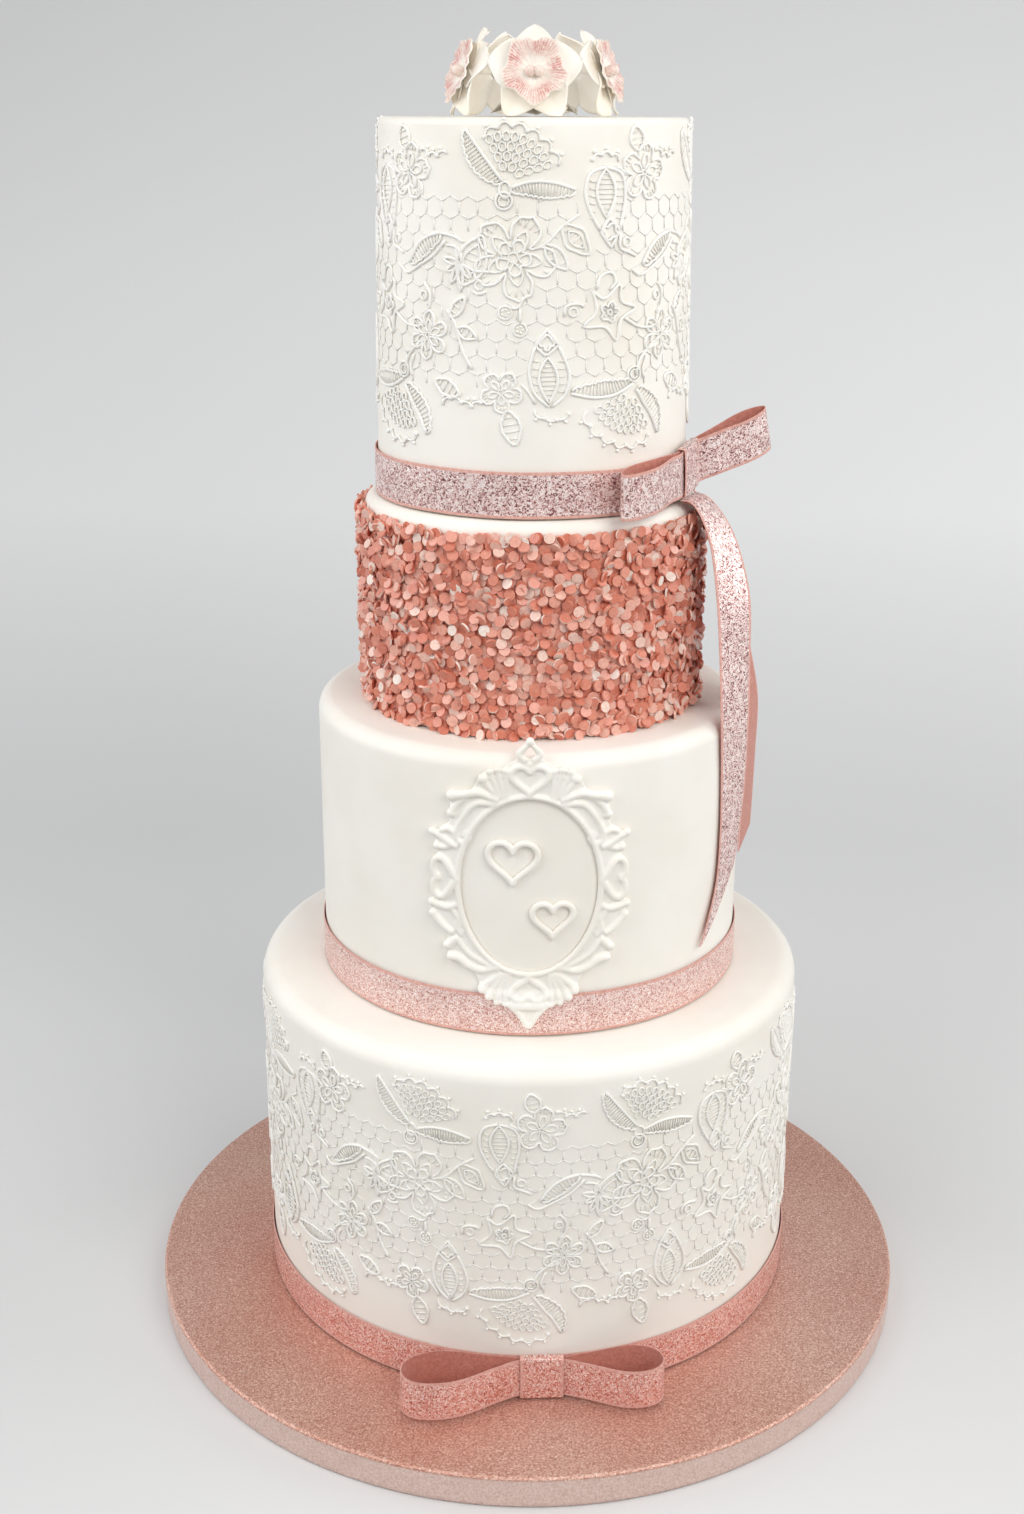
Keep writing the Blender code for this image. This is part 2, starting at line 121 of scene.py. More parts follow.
class Pile:
    """Collects many small closed shapes into one mesh."""

    def __init__(self):
        self.points, self.faces, self.count = [], [], 0

    def add(self, points, faces):
        """Adds one shape, whose faces count from its own first point."""
        self.points.append(np.asarray(points, float))
        self.faces += [[i + self.count for i in face] for face in faces]
        self.count += len(points)

    def build(self, name, materials):
        """The one object."""
        return add_mesh(name, np.concatenate(self.points), self.faces, materials)


def place(obj, nodes=()):
    """Puts a finished piece on the cake's one body, in place of CAD nodes."""
    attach(obj, "root")
    if nodes:
        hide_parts(*nodes)
    return obj


# ---------------------------------------------------------------- material helpers

def new_material(name, colour, roughness, metallic=0.0):
    """A material with its Principled BSDF, and a maker of nodes in its tree."""
    material = bpy.data.materials.new(name)
    material.use_nodes = True
    tree = material.node_tree
    shader = tree.nodes["Principled BSDF"]
    shader.inputs["Base Color"].default_value = (*colour, 1)
    shader.inputs["Roughness"].default_value = roughness
    shader.inputs["Metallic"].default_value = metallic

    def node(kind, settings=None, **links):
        made = tree.nodes.new("ShaderNode" + kind)
        for key, value in (settings or {}).items():
            if isinstance(key, str) and hasattr(made, key):
                setattr(made, key, value)
            else:
                made.inputs[key].default_value = value
        for key, value in links.items():
            tree.links.new(value, made.inputs[int(key[1:]) if key[1:].isdigit() else key])
        return made

    def link(output, name):
        tree.links.new(output, shader.inputs[name])

    return material, shader, node, link


def ramp(node, value, stops):
    """A colour ramp's colour output; stops are (position, colour) pairs."""
    made = node("ValToRGB", _0=value)
    band = made.color_ramp
    while len(band.elements) < len(stops):
        band.elements.new(0.5)
    for element, (position, colour) in zip(band.elements, stops):
        element.position = position
        element.color = (*colour, 1)
    return made.outputs[0]


def srgb(r, g, b):
    """Linear colour from 0-255 display values."""
    return tuple(((c / 255 + 0.055) / 1.055) ** 2.4 if c > 10 else c / 255 / 12.92 for c in (r, g, b))


# ---------------------------------------------------------------- stage, lights and camera

CAMERA_PLACE = (0.0, -0.6432, 0.4464)
CAMERA_YAW, CAMERA_PITCH, CAMERA_ROLL = -0.60, 19.6, 0.16
CAMERA_LENS, CAMERA_SENSOR = 43.49, 36.0
# Floor and backdrop in metres: half width, how far forward, where the sweep starts, its radius, its height.
STAGE_HALF_WIDTH, STAGE_FRONT, SWEEP_START, SWEEP_RADIUS, STAGE_HEIGHT = 2.6, -2.4, 0.45, 0.9, 3.2
# Name, place, height that it aims at on the axis, size, power and colour of each lamp.
LAMPS = [
    ("key", (0.60, -0.92, 0.98), 0.42, 0.8, 8.6, (1.0, 0.98, 0.95)),
    ("top", (-0.1, -0.2, 1.5), 0.40, 1.0, 0.9, (1, 1, 1)),
    ("fill", (-0.75, -0.70, 0.98), 0.40, 0.8, 5.6, (0.98, 0.99, 1.0)),
    ("left", (-1.2, 0.15, 0.75), 0.36, 1.0, 6.6, (1, 1, 1)),
    ("right", (1.2, 0.10, 0.75), 0.36, 1.0, 6.8, (1, 1, 1)),
]
WORLD_COLOUR, WORLD_STRENGTH = (0.92, 0.94, 0.97, 1), 0.34


def make_camera():
    """The camera at the photograph's viewing angle."""
    yaw, pitch, roll = (math.radians(angle) for angle in (CAMERA_YAW, CAMERA_PITCH, CAMERA_ROLL))
    ahead = Vector((math.sin(yaw) * math.cos(pitch), math.cos(yaw) * math.cos(pitch), -math.sin(pitch)))
    level = Vector((math.cos(yaw), -math.sin(yaw), 0.0))
    rise = level.cross(ahead)
    right = level * math.cos(roll) + rise * math.sin(roll)
    up = rise * math.cos(roll) - level * math.sin(roll)
    data = bpy.data.cameras.new("camera")
    data.sensor_width = CAMERA_SENSOR
    data.lens = CAMERA_LENS
    data.clip_start = 0.01
    camera = bpy.data.objects.new("camera", data)
    camera.matrix_world = Matrix((right, up, -ahead)).transposed().to_4x4()
    camera.location = CAMERA_PLACE
    bpy.context.scene.collection.objects.link(camera)
    bpy.context.scene.camera = camera


def make_stage():
    """A pale floor that sweeps up into the backdrop, with painted light and shade in the colour the camera sees."""
    profile = [(STAGE_FRONT, 0.0), (SWEEP_START, 0.0)]
    for i in range(1, 25):
        a = math.pi / 2 * i / 24
        profile.append((SWEEP_START + SWEEP_RADIUS * math.sin(a), SWEEP_RADIUS * (1 - math.cos(a))))
    profile.append((SWEEP_START + SWEEP_RADIUS, STAGE_HEIGHT))
    points = [(x, y, z) for y, z in profile for x in (-STAGE_HALF_WIDTH, STAGE_HALF_WIDTH)]
    material, _, node, link = new_material("stage", srgb(226, 226, 226), 0.9)
    place_on = node("TexCoord").outputs["Object"]
    split = node("SeparateXYZ", _0=place_on)
    # Painted light on the stage: darker on the left and brighter on the right, brightest on the sweep just above
    # the floor, with painted shade on the floor and higher up; other rays see plain grey.
    across = spread(node, split.outputs[0], low=-0.5, high=0.5)
    level = ramp(node, across, [(0.0, srgb(233, 233, 233)), (1.0, srgb(251, 251, 251))])
    rise = spread(node, split.outputs[2], high=0.6)
    painted_height_shade = ramp(node, rise, [(0.0, srgb(233, 233, 233)), (0.2, srgb(255, 255, 255)),
                              (0.5, srgb(252, 252, 252)), (1.0, srgb(242, 242, 242))])
    path = node("LightPath").outputs
    direct = calc(node, "ADD", path["Is Camera Ray"], path["Is Glossy Ray"])
    direct = calc(node, "ADD", direct, path["Is Transmission Ray"])
    colour = node("Mix", {"data_type": "RGBA", 6: (0.42, 0.42, 0.42, 1)}, _0=direct, _7=tinted(node, level, painted_height_shade))
    link(colour.outputs[2], "Base Color")
    stage = add_mesh("stage", points, grid_faces(len(profile), 2, wrap_columns=False), [material])


def add_lamp(name, place_at, aim, size, power, colour):
    """A square area lamp that faces the cake's axis at the height aim."""
    data = bpy.data.lights.new(name, "AREA")
    data.shape = "SQUARE"
    data.size = size
    data.energy = power
    data.color = colour
    lamp = bpy.data.objects.new(name, data)
    lamp.location = place_at
    lamp.rotation_euler = (Vector((0, 0, aim)) - Vector(place_at)).to_track_quat("-Z", "Y").to_euler()
    bpy.context.scene.collection.objects.link(lamp)


def make_lights():
    """Soft studio light from above and the front right, with a pale surround."""
    for lamp in LAMPS:
        add_lamp(*lamp)
    world = bpy.data.worlds.new("world")
    world.use_nodes = True
    background = world.node_tree.nodes["Background"]
    background.inputs["Color"].default_value = WORLD_COLOUR
    background.inputs["Strength"].default_value = WORLD_STRENGTH
    bpy.context.scene.world = world
    bpy.context.scene.view_settings.view_transform = "Standard"


# ---------------------------------------------------------------- materials

THREAD_SCALE = 1427.89


def noise(node, scale, detail=2.0, rough=0.5, distortion=0.0, coords=None):
    """The value of a noise texture in object space; scale counts features per metre."""
    coords = coords or node("TexCoord").outputs["Object"]
    settings = {"Scale": scale, "Detail": detail, "Roughness": rough, "Distortion": distortion}
    return node("TexNoise", settings, Vector=coords).outputs["Fac"]


def calc(node, operation, *values):
    """The output of a math node; each value is a number or another node's output."""
    numbers = {i: value for i, value in enumerate(values) if isinstance(value, float)}
    links = {f"_{i}": value for i, value in enumerate(values) if i not in numbers}
    return node("Math", {"operation": operation, **numbers}, **links).outputs[0]


def spread(node, value, to_low=0.0, to_high=1.0, low=0.0, high=1.0):
    """A value mapped from low-high to to_low-to_high, without going past either."""
    limits = {"From Min": low, "From Max": high, "To Min": to_low, "To Max": to_high}
    return node("MapRange", limits, _0=value).outputs[0]


def tinted(node, colour, shade):
    """Two colours multiplied."""
    settings = {"data_type": "RGBA", "blend_type": "MULTIPLY", "Factor": 1.0}
    return node("Mix", settings, _6=colour, _7=shade).outputs[2]


def add_bump(node, link, height, distance, strength):
    """A bump on the shader from a height; distance in metres."""
    link(node("Bump", {"Distance": distance, "Strength": strength}, Height=height).outputs[0], "Normal")


def icing_material(name, light, dark, roughness, speck, subsurface=0.08):
    """Matt sugar with a slow change of tone and a fine skin."""
    material, shader, node, link = new_material(name, light, roughness)
    tone = noise(node, 28.0, 3.0)
    link(ramp(node, tone, [(0.35, dark), (0.62, light)]), "Base Color")
    fine = noise(node, 2600.0, 2.0)
    wide = noise(node, 120.0, 2.0)
    add_bump(node, link, calc(node, "MULTIPLY_ADD", wide, 6.0, fine), speck, 0.5)
    link(spread(node, tone, roughness - 0.06, roughness + 0.08), "Roughness")
    shader.inputs["Subsurface Weight"].default_value = subsurface
    shader.inputs["Subsurface Radius"].default_value = (1.0, 0.7, 0.45)
    shader.inputs["Subsurface Scale"].default_value = 0.003
    shader.inputs["Specular IOR Level"].default_value = 0.4
    return material


def glitter_material(name, dark, mid, light, grain, worm):
    """Lurex ribbon: a woven rose-gold foil with dark and pale threads in its colour, and painted glints on them."""
    material, _, node, link = new_material(name, mid, 0.36, 0.55)
    coords = node("TexCoord").outputs["Object"]
    cells = node("TexVoronoi", {"Scale": grain, "Randomness": 1.0}, Vector=coords)
    pick = node("SeparateColor", _0=cells.outputs["Color"])
    threads = noise(node, worm, 2.0, 0.55, 1.0, coords)
    away = calc(node, "ABSOLUTE", calc(node, "SUBTRACT", threads, 0.5))
    # The dark and pale threads are the weave's own colour; each cell's tone and the near-white stop at the top of
    # the ramp are painted glints.
    threads_and_painted_glints = calc(node, "MULTIPLY_ADD", pick.outputs[0], 0.10, away)
    stops = [(0.13, dark), (0.29, mid), (0.52, light), (0.90, srgb(255, 240, 236))]
    link(ramp(node, spread(node, threads_and_painted_glints, low=0.02, high=0.20), stops), "Base Color")
    link(spread(node, pick.outputs[1], 0.22, 0.5), "Roughness")
    add_bump(node, link, calc(node, "ADD", threads, pick.outputs[2]), 0.00022, 0.55)
    return material


def weave_material(name, dark, light, roughness):
    """Matt woven ribbon: fine crosswise threads."""
    material, shader, node, link = new_material(name, light, roughness)
    coords = node("TexCoord").outputs["Object"]
    tone = noise(node, 900.0, 3.0, 0.6, 0.0, coords)
    link(ramp(node, tone, [(0.3, dark), (0.7, light)]), "Base Color")
    threads = node("TexWave", {"bands_direction": "Z", "Scale": THREAD_SCALE, "Distortion": 1.5, "Detail": 1.0,
                               "Detail Scale": 40.0}, Vector=coords)
    add_bump(node, link, threads.outputs["Fac"], 0.00008, 0.5)
    shader.inputs["Sheen Weight"].default_value = 0.25
    return material


def foil_material():
    """Embossed satin foil; its palest specks and the tiny bright dashes along its creases are painted glints."""
    material, _, node, link = new_material("foil", srgb(216, 172, 156), 0.42, 0.62)
    coords = node("TexCoord").outputs["Object"]
    cells = node("TexVoronoi", {"feature": "DISTANCE_TO_EDGE", "Scale": 900.0}, Vector=coords)
    swirl = noise(node, 420.0, 4.0, 0.65, 2.2, coords)
    speck = noise(node, 1500.0, 3.0, 0.7, 0.6, coords)
    tone = noise(node, 14.0, 2.0, 0.5, 0.0, coords)
    # The darker stops are the foil's own rose-gold tone; the palest stops are painted sparkle on the embossing.
    base = ramp(node, speck, [(0.34, srgb(186, 130, 112)), (0.52, srgb(222, 178, 161)),
                              (0.62, srgb(242, 206, 190)), (0.70, srgb(255, 244, 236))])
    wide = ramp(node, tone, [(0.3, srgb(244, 226, 220)), (0.7, srgb(255, 255, 255))])
    curls = noise(node, 520.0, 1.0, 0.5, 2.6, coords)
    away = calc(node, "ABSOLUTE", calc(node, "SUBTRACT", curls, 0.5))
    # Bright dashes along the curls, where the specks are high, are painted glints on the creases.
    gate = spread(node, speck, to_high=0.8, low=0.46, high=0.56)
    painted_crease_glints = calc(node, "MULTIPLY", spread(node, away, low=0.030, high=0.008), gate)
    mixed = node("Mix", {"data_type": "RGBA", 7: (*srgb(255, 240, 228), 1)}, _0=painted_crease_glints, _6=tinted(node, base, wide))
    link(mixed.outputs[2], "Base Color")
    height = calc(node, "MULTIPLY_ADD", swirl, 0.7, cells.outputs[0])
    add_bump(node, link, calc(node, "MULTIPLY_ADD", speck, 0.5, height), 0.0006, 0.55)
    link(spread(node, swirl, 0.30, 0.52), "Roughness")
    return material


def edge_foil_material():
    """The smoother, paler foil round the drum's side."""
    material, _, node, link = new_material("edge_foil", srgb(232, 206, 196), 0.40, 0.45)
    coords = node("TexCoord").outputs["Object"]
    grain = noise(node, 1300.0, 3.0, 0.6, 0.4, coords)
    link(ramp(node, grain, [(0.32, srgb(214, 180, 168)), (0.66, srgb(240, 216, 206))]), "Base Color")
    wide = noise(node, 160.0, 3.0, 0.6, 1.2, coords)
    add_bump(node, link, calc(node, "MULTIPLY_ADD", wide, 3.0, grain), 0.0004, 0.5)
    return material


def sequin_material():
    """Pearled sugar discs, each with its own tone; the palest tones are painted highlights of the pearl lustre."""
    material, shader, node, link = new_material("sequins", srgb(236, 160, 138), 0.34, 0.0)
    island = node("NewGeometry").outputs["Random Per Island"]
    # Coral to pale pink are the discs' own tones; the near-white stops at the top are painted lustre highlights on
    # some discs.
    stops = [(0.0, srgb(216, 122, 96)), (0.25, srgb(230, 142, 116)), (0.60, srgb(240, 168, 146)),
             (0.84, srgb(248, 196, 178)), (0.95, srgb(253, 226, 212)), (1.0, srgb(255, 244, 234))]
    tone = ramp(node, island, stops)
    mottle = noise(node, 900.0, 3.0, 0.6)
    shade = ramp(node, mottle, [(0.3, srgb(232, 222, 218)), (0.7, srgb(255, 255, 255))])
    link(tinted(node, tone, shade), "Base Color")
    link(spread(node, mottle, 0.26, 0.5), "Roughness")
    add_bump(node, link, mottle, 0.00012, 0.5)
    shader.inputs["Coat Weight"].default_value = 0.6
    shader.inputs["Coat Roughness"].default_value = 0.22
    shader.inputs["Subsurface Weight"].default_value = 0.12
    shader.inputs["Subsurface Radius"].default_value = (1.0, 0.45, 0.3)
    shader.inputs["Subsurface Scale"].default_value = 0.001
    return material


def make_materials():
    """Every finish of the cake by name."""
    made = {
        "fondant": icing_material("fondant", srgb(250, 246, 238), srgb(246, 241, 231), 0.46, 0.00003),
        # The lace is a touch whiter than the fondant: partly its own whiter sugar, partly a painted sheen on its
        # raised lines.
        "lace": icing_material("lace", srgb(255, 252, 246), srgb(251, 248, 240), 0.40, 0.00004, 0.12),
        "moulded_sugar": icing_material("moulded_sugar", srgb(251, 247, 239), srgb(247, 242, 232), 0.40, 0.00004),
        "glitter": glitter_material("glitter", srgb(96, 50, 52), srgb(204, 148, 144), srgb(252, 222, 216),
                                    2600.0, 620.0),
        "glitter_fine": glitter_material("glitter_fine", srgb(160, 98, 92), srgb(222, 170, 160),
                                         srgb(250, 216, 208), 3000.0, 1100.0),
        "glitter_warm": glitter_material("glitter_warm", srgb(156, 66, 56), srgb(212, 126, 110),
                                         srgb(246, 190, 174), 3000.0, 1150.0),
        "selvage": weave_material("selvage", srgb(212, 150, 136), srgb(238, 188, 176), 0.6),
        "ribbon_back": weave_material("ribbon_back", srgb(188, 112, 96), srgb(216, 146, 128), 0.62),
        "foil": foil_material(),
        "edge_foil": edge_foil_material(),
        "sequins": sequin_material(),
        "petal": petal_material(),
    }
    return made


# ---------------------------------------------------------------- sizes shared with the CAD model

GAP = 0.0003
DRUM_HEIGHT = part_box("cake_drum")[1][2]
DRUM_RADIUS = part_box("cake_drum")[1][0]
RIBBON_WIDTH = 0.0156
RIBBON_THICKNESS = 0.0004
# How much narrower each tier's wall is at its top, the radius of its upper edge, and the phase of its wobble.
TIERS = {
    "tier_bottom": (0.0, 0.0065, 0.3),
    "tier_lower": (0.0, 0.0055, 1.4),
    "tier_sequin": (0.0, 0.0040, 2.2),
    "tier_top": (0.0024, 0.0025, 0.9),
}


def tier_size(node):
    """A tier's radius at its foot, its lower and its upper height."""
    low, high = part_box(node)
    return (high[0] - low[0]) / 2, low[2], high[2]


# ---------------------------------------------------------------- tiers and drum

DRUM_EDGE = 0.0013
DRUM_CREASES = 150
CREASE_DEPTH, RIPPLE_DEPTH = 0.00060, 0.00008


def revolve(name, profile, segments, materials, wobble=None):
    """A closed solid of revolution; wobble(azimuth, index) moves a ring's radius and height."""
    azimuth = round_angles(segments)
    rows = []
    for i, (radius, height) in enumerate(profile):
        shift_r, shift_z = wobble(azimuth, i) if wobble else (0.0, 0.0)
        rows.append(on_axis(azimuth, radius + shift_r, height + shift_z))
    points = np.concatenate(rows)
    faces = grid_faces(len(profile), segments).tolist()
    faces.append(list(range(segments))[::-1])
    faces.append(list(range((len(profile) - 1) * segments, len(profile) * segments)))
    return face_outwards(add_mesh(name, points, faces, materials))


def revolve_ring(name, profile, segments, materials):
    """A closed hoop of revolution from a closed section of (radius, height) pairs."""
    azimuth = round_angles(segments)
    points = np.concatenate([on_axis(azimuth, radius, height) for radius, height in profile])
    return face_outwards(add_mesh(name, points, grid_faces(len(profile), segments, wrap_rows=True), materials,
                                  smooth=False))


def make_tier(node, materials):
    """One iced cake: near-true walls that swell and dip a little, and a soft upper edge."""
    radius, low, high = tier_size(node)
    taper, edge, phase = TIERS[node]
    profile = [(radius - 0.0006, low), (radius, low + 0.0008)]
    rows = 14
    wall_top = high - edge
    for i in range(1, rows):
        share = i / rows
        profile.append((radius - taper * share, low + (wall_top - low) * share))
    steps = 10
    for i in range(steps + 1):
        a = math.pi / 2 * i / steps
        profile.append((radius - taper - edge + edge * math.sin(math.pi / 2 - a), wall_top + edge * math.sin(a)))
    flat = radius - taper - edge
    for share in (0.93, 0.8, 0.6, 0.4, 0.2, 0.04):
        profile.append((flat * share, high))
    count = len(profile)

    def wobble(azimuth, i):
        wave = (np.sin(3 * azimuth + phase + i * 0.21) + np.sin(5 * azimuth - 2 * phase - i * 0.33)
                + np.sin(11 * azimuth + i * 0.5)) / 3
        if i >= count - 6:
            return 0.0, 0.00008 * (wave - 1)
        return 0.00012 * (wave - 1), 0.00006 * (wave - 1) if i > rows else 0.0

    piece = revolve(node + "_icing", profile, 192, [materials["fondant"]], wobble)
    place(piece, [node])


def make_drum(materials):
    """The foil-wrapped cake drum: an eased top edge and crinkled pleats down its side."""
    rng = np.random.default_rng(SEED)
    segments = 720
    azimuth = round_angles(segments)
    crinkle = np.zeros(segments)
    slant = np.zeros(segments)
    for _ in range(DRUM_CREASES):
        centre, width, depth = rng.uniform(0, 2 * math.pi), rng.uniform(0.004, 0.016), rng.uniform(0.2, 1.0)
        away = np.angle(np.exp(1j * (azimuth - centre)))
        crinkle += depth * np.exp(-(away / width) ** 2)
        slant += rng.uniform(-1, 1) * np.exp(-(away / (4 * width)) ** 2)
    crinkle = np.minimum(crinkle, 1.0)
    top, edge = DRUM_HEIGHT, DRUM_EDGE
    profile = [(DRUM_RADIUS * 0.93, 0.0002), (DRUM_RADIUS - 0.0016, 0.0), (DRUM_RADIUS - 0.0004, 0.0005)]
    wall_rows = 10
    for i in range(wall_rows + 1):
        profile.append((DRUM_RADIUS - 0.00005, 0.0012 + (top - edge - 0.0012) * i / wall_rows))
    for i in range(1, 7):
        a = math.pi / 2 * i / 6
        profile.append((DRUM_RADIUS - edge + edge * math.cos(a), top - edge + edge * math.sin(a)))
    for share in (0.985, 0.95, 0.9, 0.8, 0.7):
        profile.append((DRUM_RADIUS * share - edge * 0.5, top))
    first_wall, last_wall = 2, 2 + wall_rows

    def wobble(azimuth, i):
        if i < first_wall or i > last_wall + 5:
            return 0.0, 0.0
        share = (i - first_wall) / (last_wall - first_wall)
        turn = slant * 5 * (share - 0.5)
        shifted = np.interp((np.arange(segments) + turn) % segments, np.arange(segments), crinkle, period=segments)
        fade = math.sin(math.pi * min(max(share, 0.0), 1.15) / 1.15) ** 0.5 if 0 < share < 1.15 else 0.0
        ripple = 0.5 + 0.5 * np.sin(azimuth * 90 + share * 3 + 2 * np.sin(azimuth * 17))
        return -CREASE_DEPTH * shifted * fade - RIPPLE_DEPTH * ripple * fade, 0.0

    piece = revolve("drum_foil", profile, segments, [materials["foil"], materials["edge_foil"]], wobble)
    marks = np.zeros(len(piece.data.polygons), dtype=np.int32)
    marks[:segments * (last_wall + 1)] = 1
    piece.data.polygons.foreach_set("material_index", marks)
    place(piece, ["cake_drum"])


# ---------------------------------------------------------------- ribbons

EDGE_WIDTH = 0.0011
PICOT = 0.00030
# Node, tier, finish and phase of the small drift of each ribbon round a tier.
BANDS = [("ribbon_bottom", "tier_bottom", "glitter_warm", 0.5), ("ribbon_lower", "tier_lower", "glitter_fine", 1.1),
         ("ribbon_top", "tier_top", "glitter", 2.6)]
STATION = 0.00035


def ribbon_strip(name, centres, acrosses, normals, width, materials, closed=False, cut=None):
    """A ribbon of glitter cloth with a plain picot edge along both sides.

    The runs of points are arrays; cut gives the share of the width that is missing at each station.
    """
    count = len(centres)
    zigzag = np.where(np.arange(count) % 2 == 0, PICOT, 0.0)[:, None]
    low = -width / 2 + np.zeros((count, 1))
    high = width / 2 - (cut[:, None] if cut is not None else 0.0) + np.zeros((count, 1))
    band = np.minimum(EDGE_WIDTH, (high - low) / 3)
    lift = normals * RIBBON_THICKNESS / 2
    offsets = [(low + zigzag, 0.55), (low + band, 1.0), ((low + high) / 2, 1.06), (high - band, 1.0),
               (high - zigzag, 0.55)]
    rows = [centres + acrosses * offset + lift * share for offset, share in offsets]
    rows += [centres + acrosses * offset - lift * min(share, 1.0) for offset, share in offsets[::-1]]
    points = np.stack(rows, 1).reshape(-1, 3)
    around = len(rows)
    faces = grid_faces(count, around, wrap_rows=closed).tolist()
    marks = [1 if c in (0, 3, 4, 8, 9) else 0 for _ in range(count if closed else count - 1) for c in range(around)]
    back = {5, 6, 7}
    marks = [2 if k % around in back else m for k, m in enumerate(marks)]
    if not closed:
        faces.append(list(range(around))[::-1])
        faces.append(list(range((count - 1) * around, count * around)))
        marks += [1, 1]
    piece = add_mesh(name, points, faces, materials, marks)
    piece.data.set_sharp_from_angle(angle=math.radians(40))
    return face_outwards(piece)


def make_band(node, tier, materials, glitter, phase):
    """The ribbon round a tier's foot."""
    radius, low, _ = tier_size(tier)
    below = low - GAP
    count = int(2 * math.pi * radius / STATION / 2) * 2
    azimuth = round_angles(count)
    drift = 0.00010 * np.sin(3 * azimuth + phase) + 0.00006 * np.sin(7 * azimuth)
    middle = below + GAP + RIBBON_WIDTH / 2 + 0.00018 + drift
    out = radius + GAP + RIBBON_THICKNESS / 2 + 0.00005 * np.sin(9 * azimuth + phase)
    centres = on_axis(azimuth, out, middle)
    normals = on_axis(azimuth, 1.0, 0.0)
    across = np.broadcast_to((0.0, 0.0, 1.0), centres.shape)
    piece = ribbon_strip(node + "_cloth", centres, across, normals, RIBBON_WIDTH, [
        materials[glitter], materials["selvage"], materials["ribbon_back"]], closed=True)
    place(piece, [node])


# ---------------------------------------------------------------- sequins

SEQUIN_RADIUS, SEQUIN_THICKNESS, SEQUIN_SIDES = 0.0020, 0.0007, 10
# Pitch, lift off the wall, tilt and jitter of the two layers.
SEQUIN_LAYERS = [(0.0034, 0.00115, 0.22, 0.25), (0.0042, 0.0024, 0.50, 0.48)]


def make_sequins(materials):
    """The coat of overlapping 4 mm sugar discs over a thin sleeve."""
    radius, _, _ = tier_size("tier_sequin")
    (_, _, low), (_, _, high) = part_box("sequin_coat")
    rng = np.random.default_rng(SEED + 1)
    sides, disc, thick = SEQUIN_SIDES, SEQUIN_RADIUS, SEQUIN_THICKNESS
    ring = round_angles(sides)
    circle = np.stack([np.cos(ring), np.sin(ring)], -1)
    flat = [np.append(disc * 0.96 * c, thick * 0.45) for c in circle]
    flat += [np.append(disc * c, -thick * 0.5) for c in circle]
    flat = np.array(flat)
    faces = [list(range(sides)), list(range(sides, 2 * sides))[::-1]]
    faces += [[i, sides + i, sides + (i + 1) % sides, (i + 1) % sides] for i in range(sides)]
    pile = Pile()
    for pitch, lift, tilt, jitter in SEQUIN_LAYERS:
        rows = int((high - low) / (pitch * 0.866))
        around = int(2 * math.pi * (radius + lift) / pitch)
        for r in range(rows + 1):
            height = low + 0.0012 + (high - low - 0.0024) * r / rows
            for k in range(around):
                a = (k + 0.5 * (r % 2) + rng.uniform(-jitter, jitter)) * 2 * math.pi / around
                z = np.clip(height + rng.uniform(-jitter, jitter) * pitch, low + 0.0008, high - 0.0003)
                out = on_axis(a, 1.0, 0.0)
                lean = rng.normal(0, tilt, 2)
                up = np.array([0.0, 0.0, 1.0])
                side = np.cross(up, out)
                facing = unit(out + lean[0] * side + (lean[1] + 0.12) * up)
                x_axis = unit(np.cross(up, facing))
                y_axis = np.cross(facing, x_axis)
                spin = rng.uniform(0, 2 * math.pi)
                x2 = x_axis * math.cos(spin) + y_axis * math.sin(spin)
                y2 = y_axis * math.cos(spin) - x_axis * math.sin(spin)
                size = rng.uniform(0.94, 1.04)
                centre = on_axis(a, radius + lift + rng.uniform(-0.0002, 0.0003), z)
                spot = centre + size * (flat[:, :1] * x2 + flat[:, 1:2] * y2 + flat[:, 2:] * facing)
                pile.add(spot, faces)
    sleeve = [(radius + 0.0002, low), (radius + 0.0006, low), (radius + 0.0006, high - 0.0006),
              (radius + 0.0002, high - 0.0006)]
    base = revolve_ring("sequin_base", sleeve, 120, [materials["sequins"]])
    place(base, ["sequin_coat"])
    discs = pile.build("sequin_discs", [materials["sequins"]])
    discs.data.set_sharp_from_angle(angle=math.radians(50))
    place(discs, ["sequin_coat"])


# ---------------------------------------------------------------- curves

def smooth_run(stops, steps, closed=False):
    """A Catmull-Rom curve through stops of any dimension, steps points to a stretch."""
    stops = np.asarray(stops, float)
    if closed:
        padded = np.concatenate([stops[-1:], stops, stops[:2]])
    else:
        padded = np.concatenate([stops[:1], stops, stops[-1:]])
    spans = len(padded) - 3
    t = (np.arange(steps) / steps)[:, None]
    runs = []
    for i in range(spans):
        a, b, c, d = padded[i:i + 4]
        runs.append(b + 0.5 * t * ((c - a) + t * ((2 * a - 5 * b + 4 * c - d) + t * (3 * b - a - 3 * c + d))))
    if not closed:
        runs.append(padded[-2:-1])
    return np.concatenate(runs)


def even_run(points, step, closed=False, count=None):
    """The same run of points at even distances, about step apart."""
    points = np.asarray(points, float)
    if closed:
        points = np.concatenate([points, points[:1]])
    lengths = np.concatenate([[0], np.cumsum(np.linalg.norm(np.diff(points, axis=0), axis=1))])
    count = count or max(2, int(round(lengths[-1] / step)))
    where = np.linspace(0, lengths[-1], count + 1)
    if closed:
        where = where[:-1]
    return np.stack([np.interp(where, lengths, points[:, k]) for k in range(points.shape[1])], -1)


def tangents(points, closed=False):
    """Unit directions along a run of points."""
    if closed:
        return unit(np.roll(points, -1, axis=0) - np.roll(points, 1, axis=0))
    return unit(np.gradient(points, axis=0))


def smooth_step(t):
    """0 below 0, 1 above 1 and an even ease between."""
    t = np.clip(t, 0, 1)
    return t * t * (3 - 2 * t)


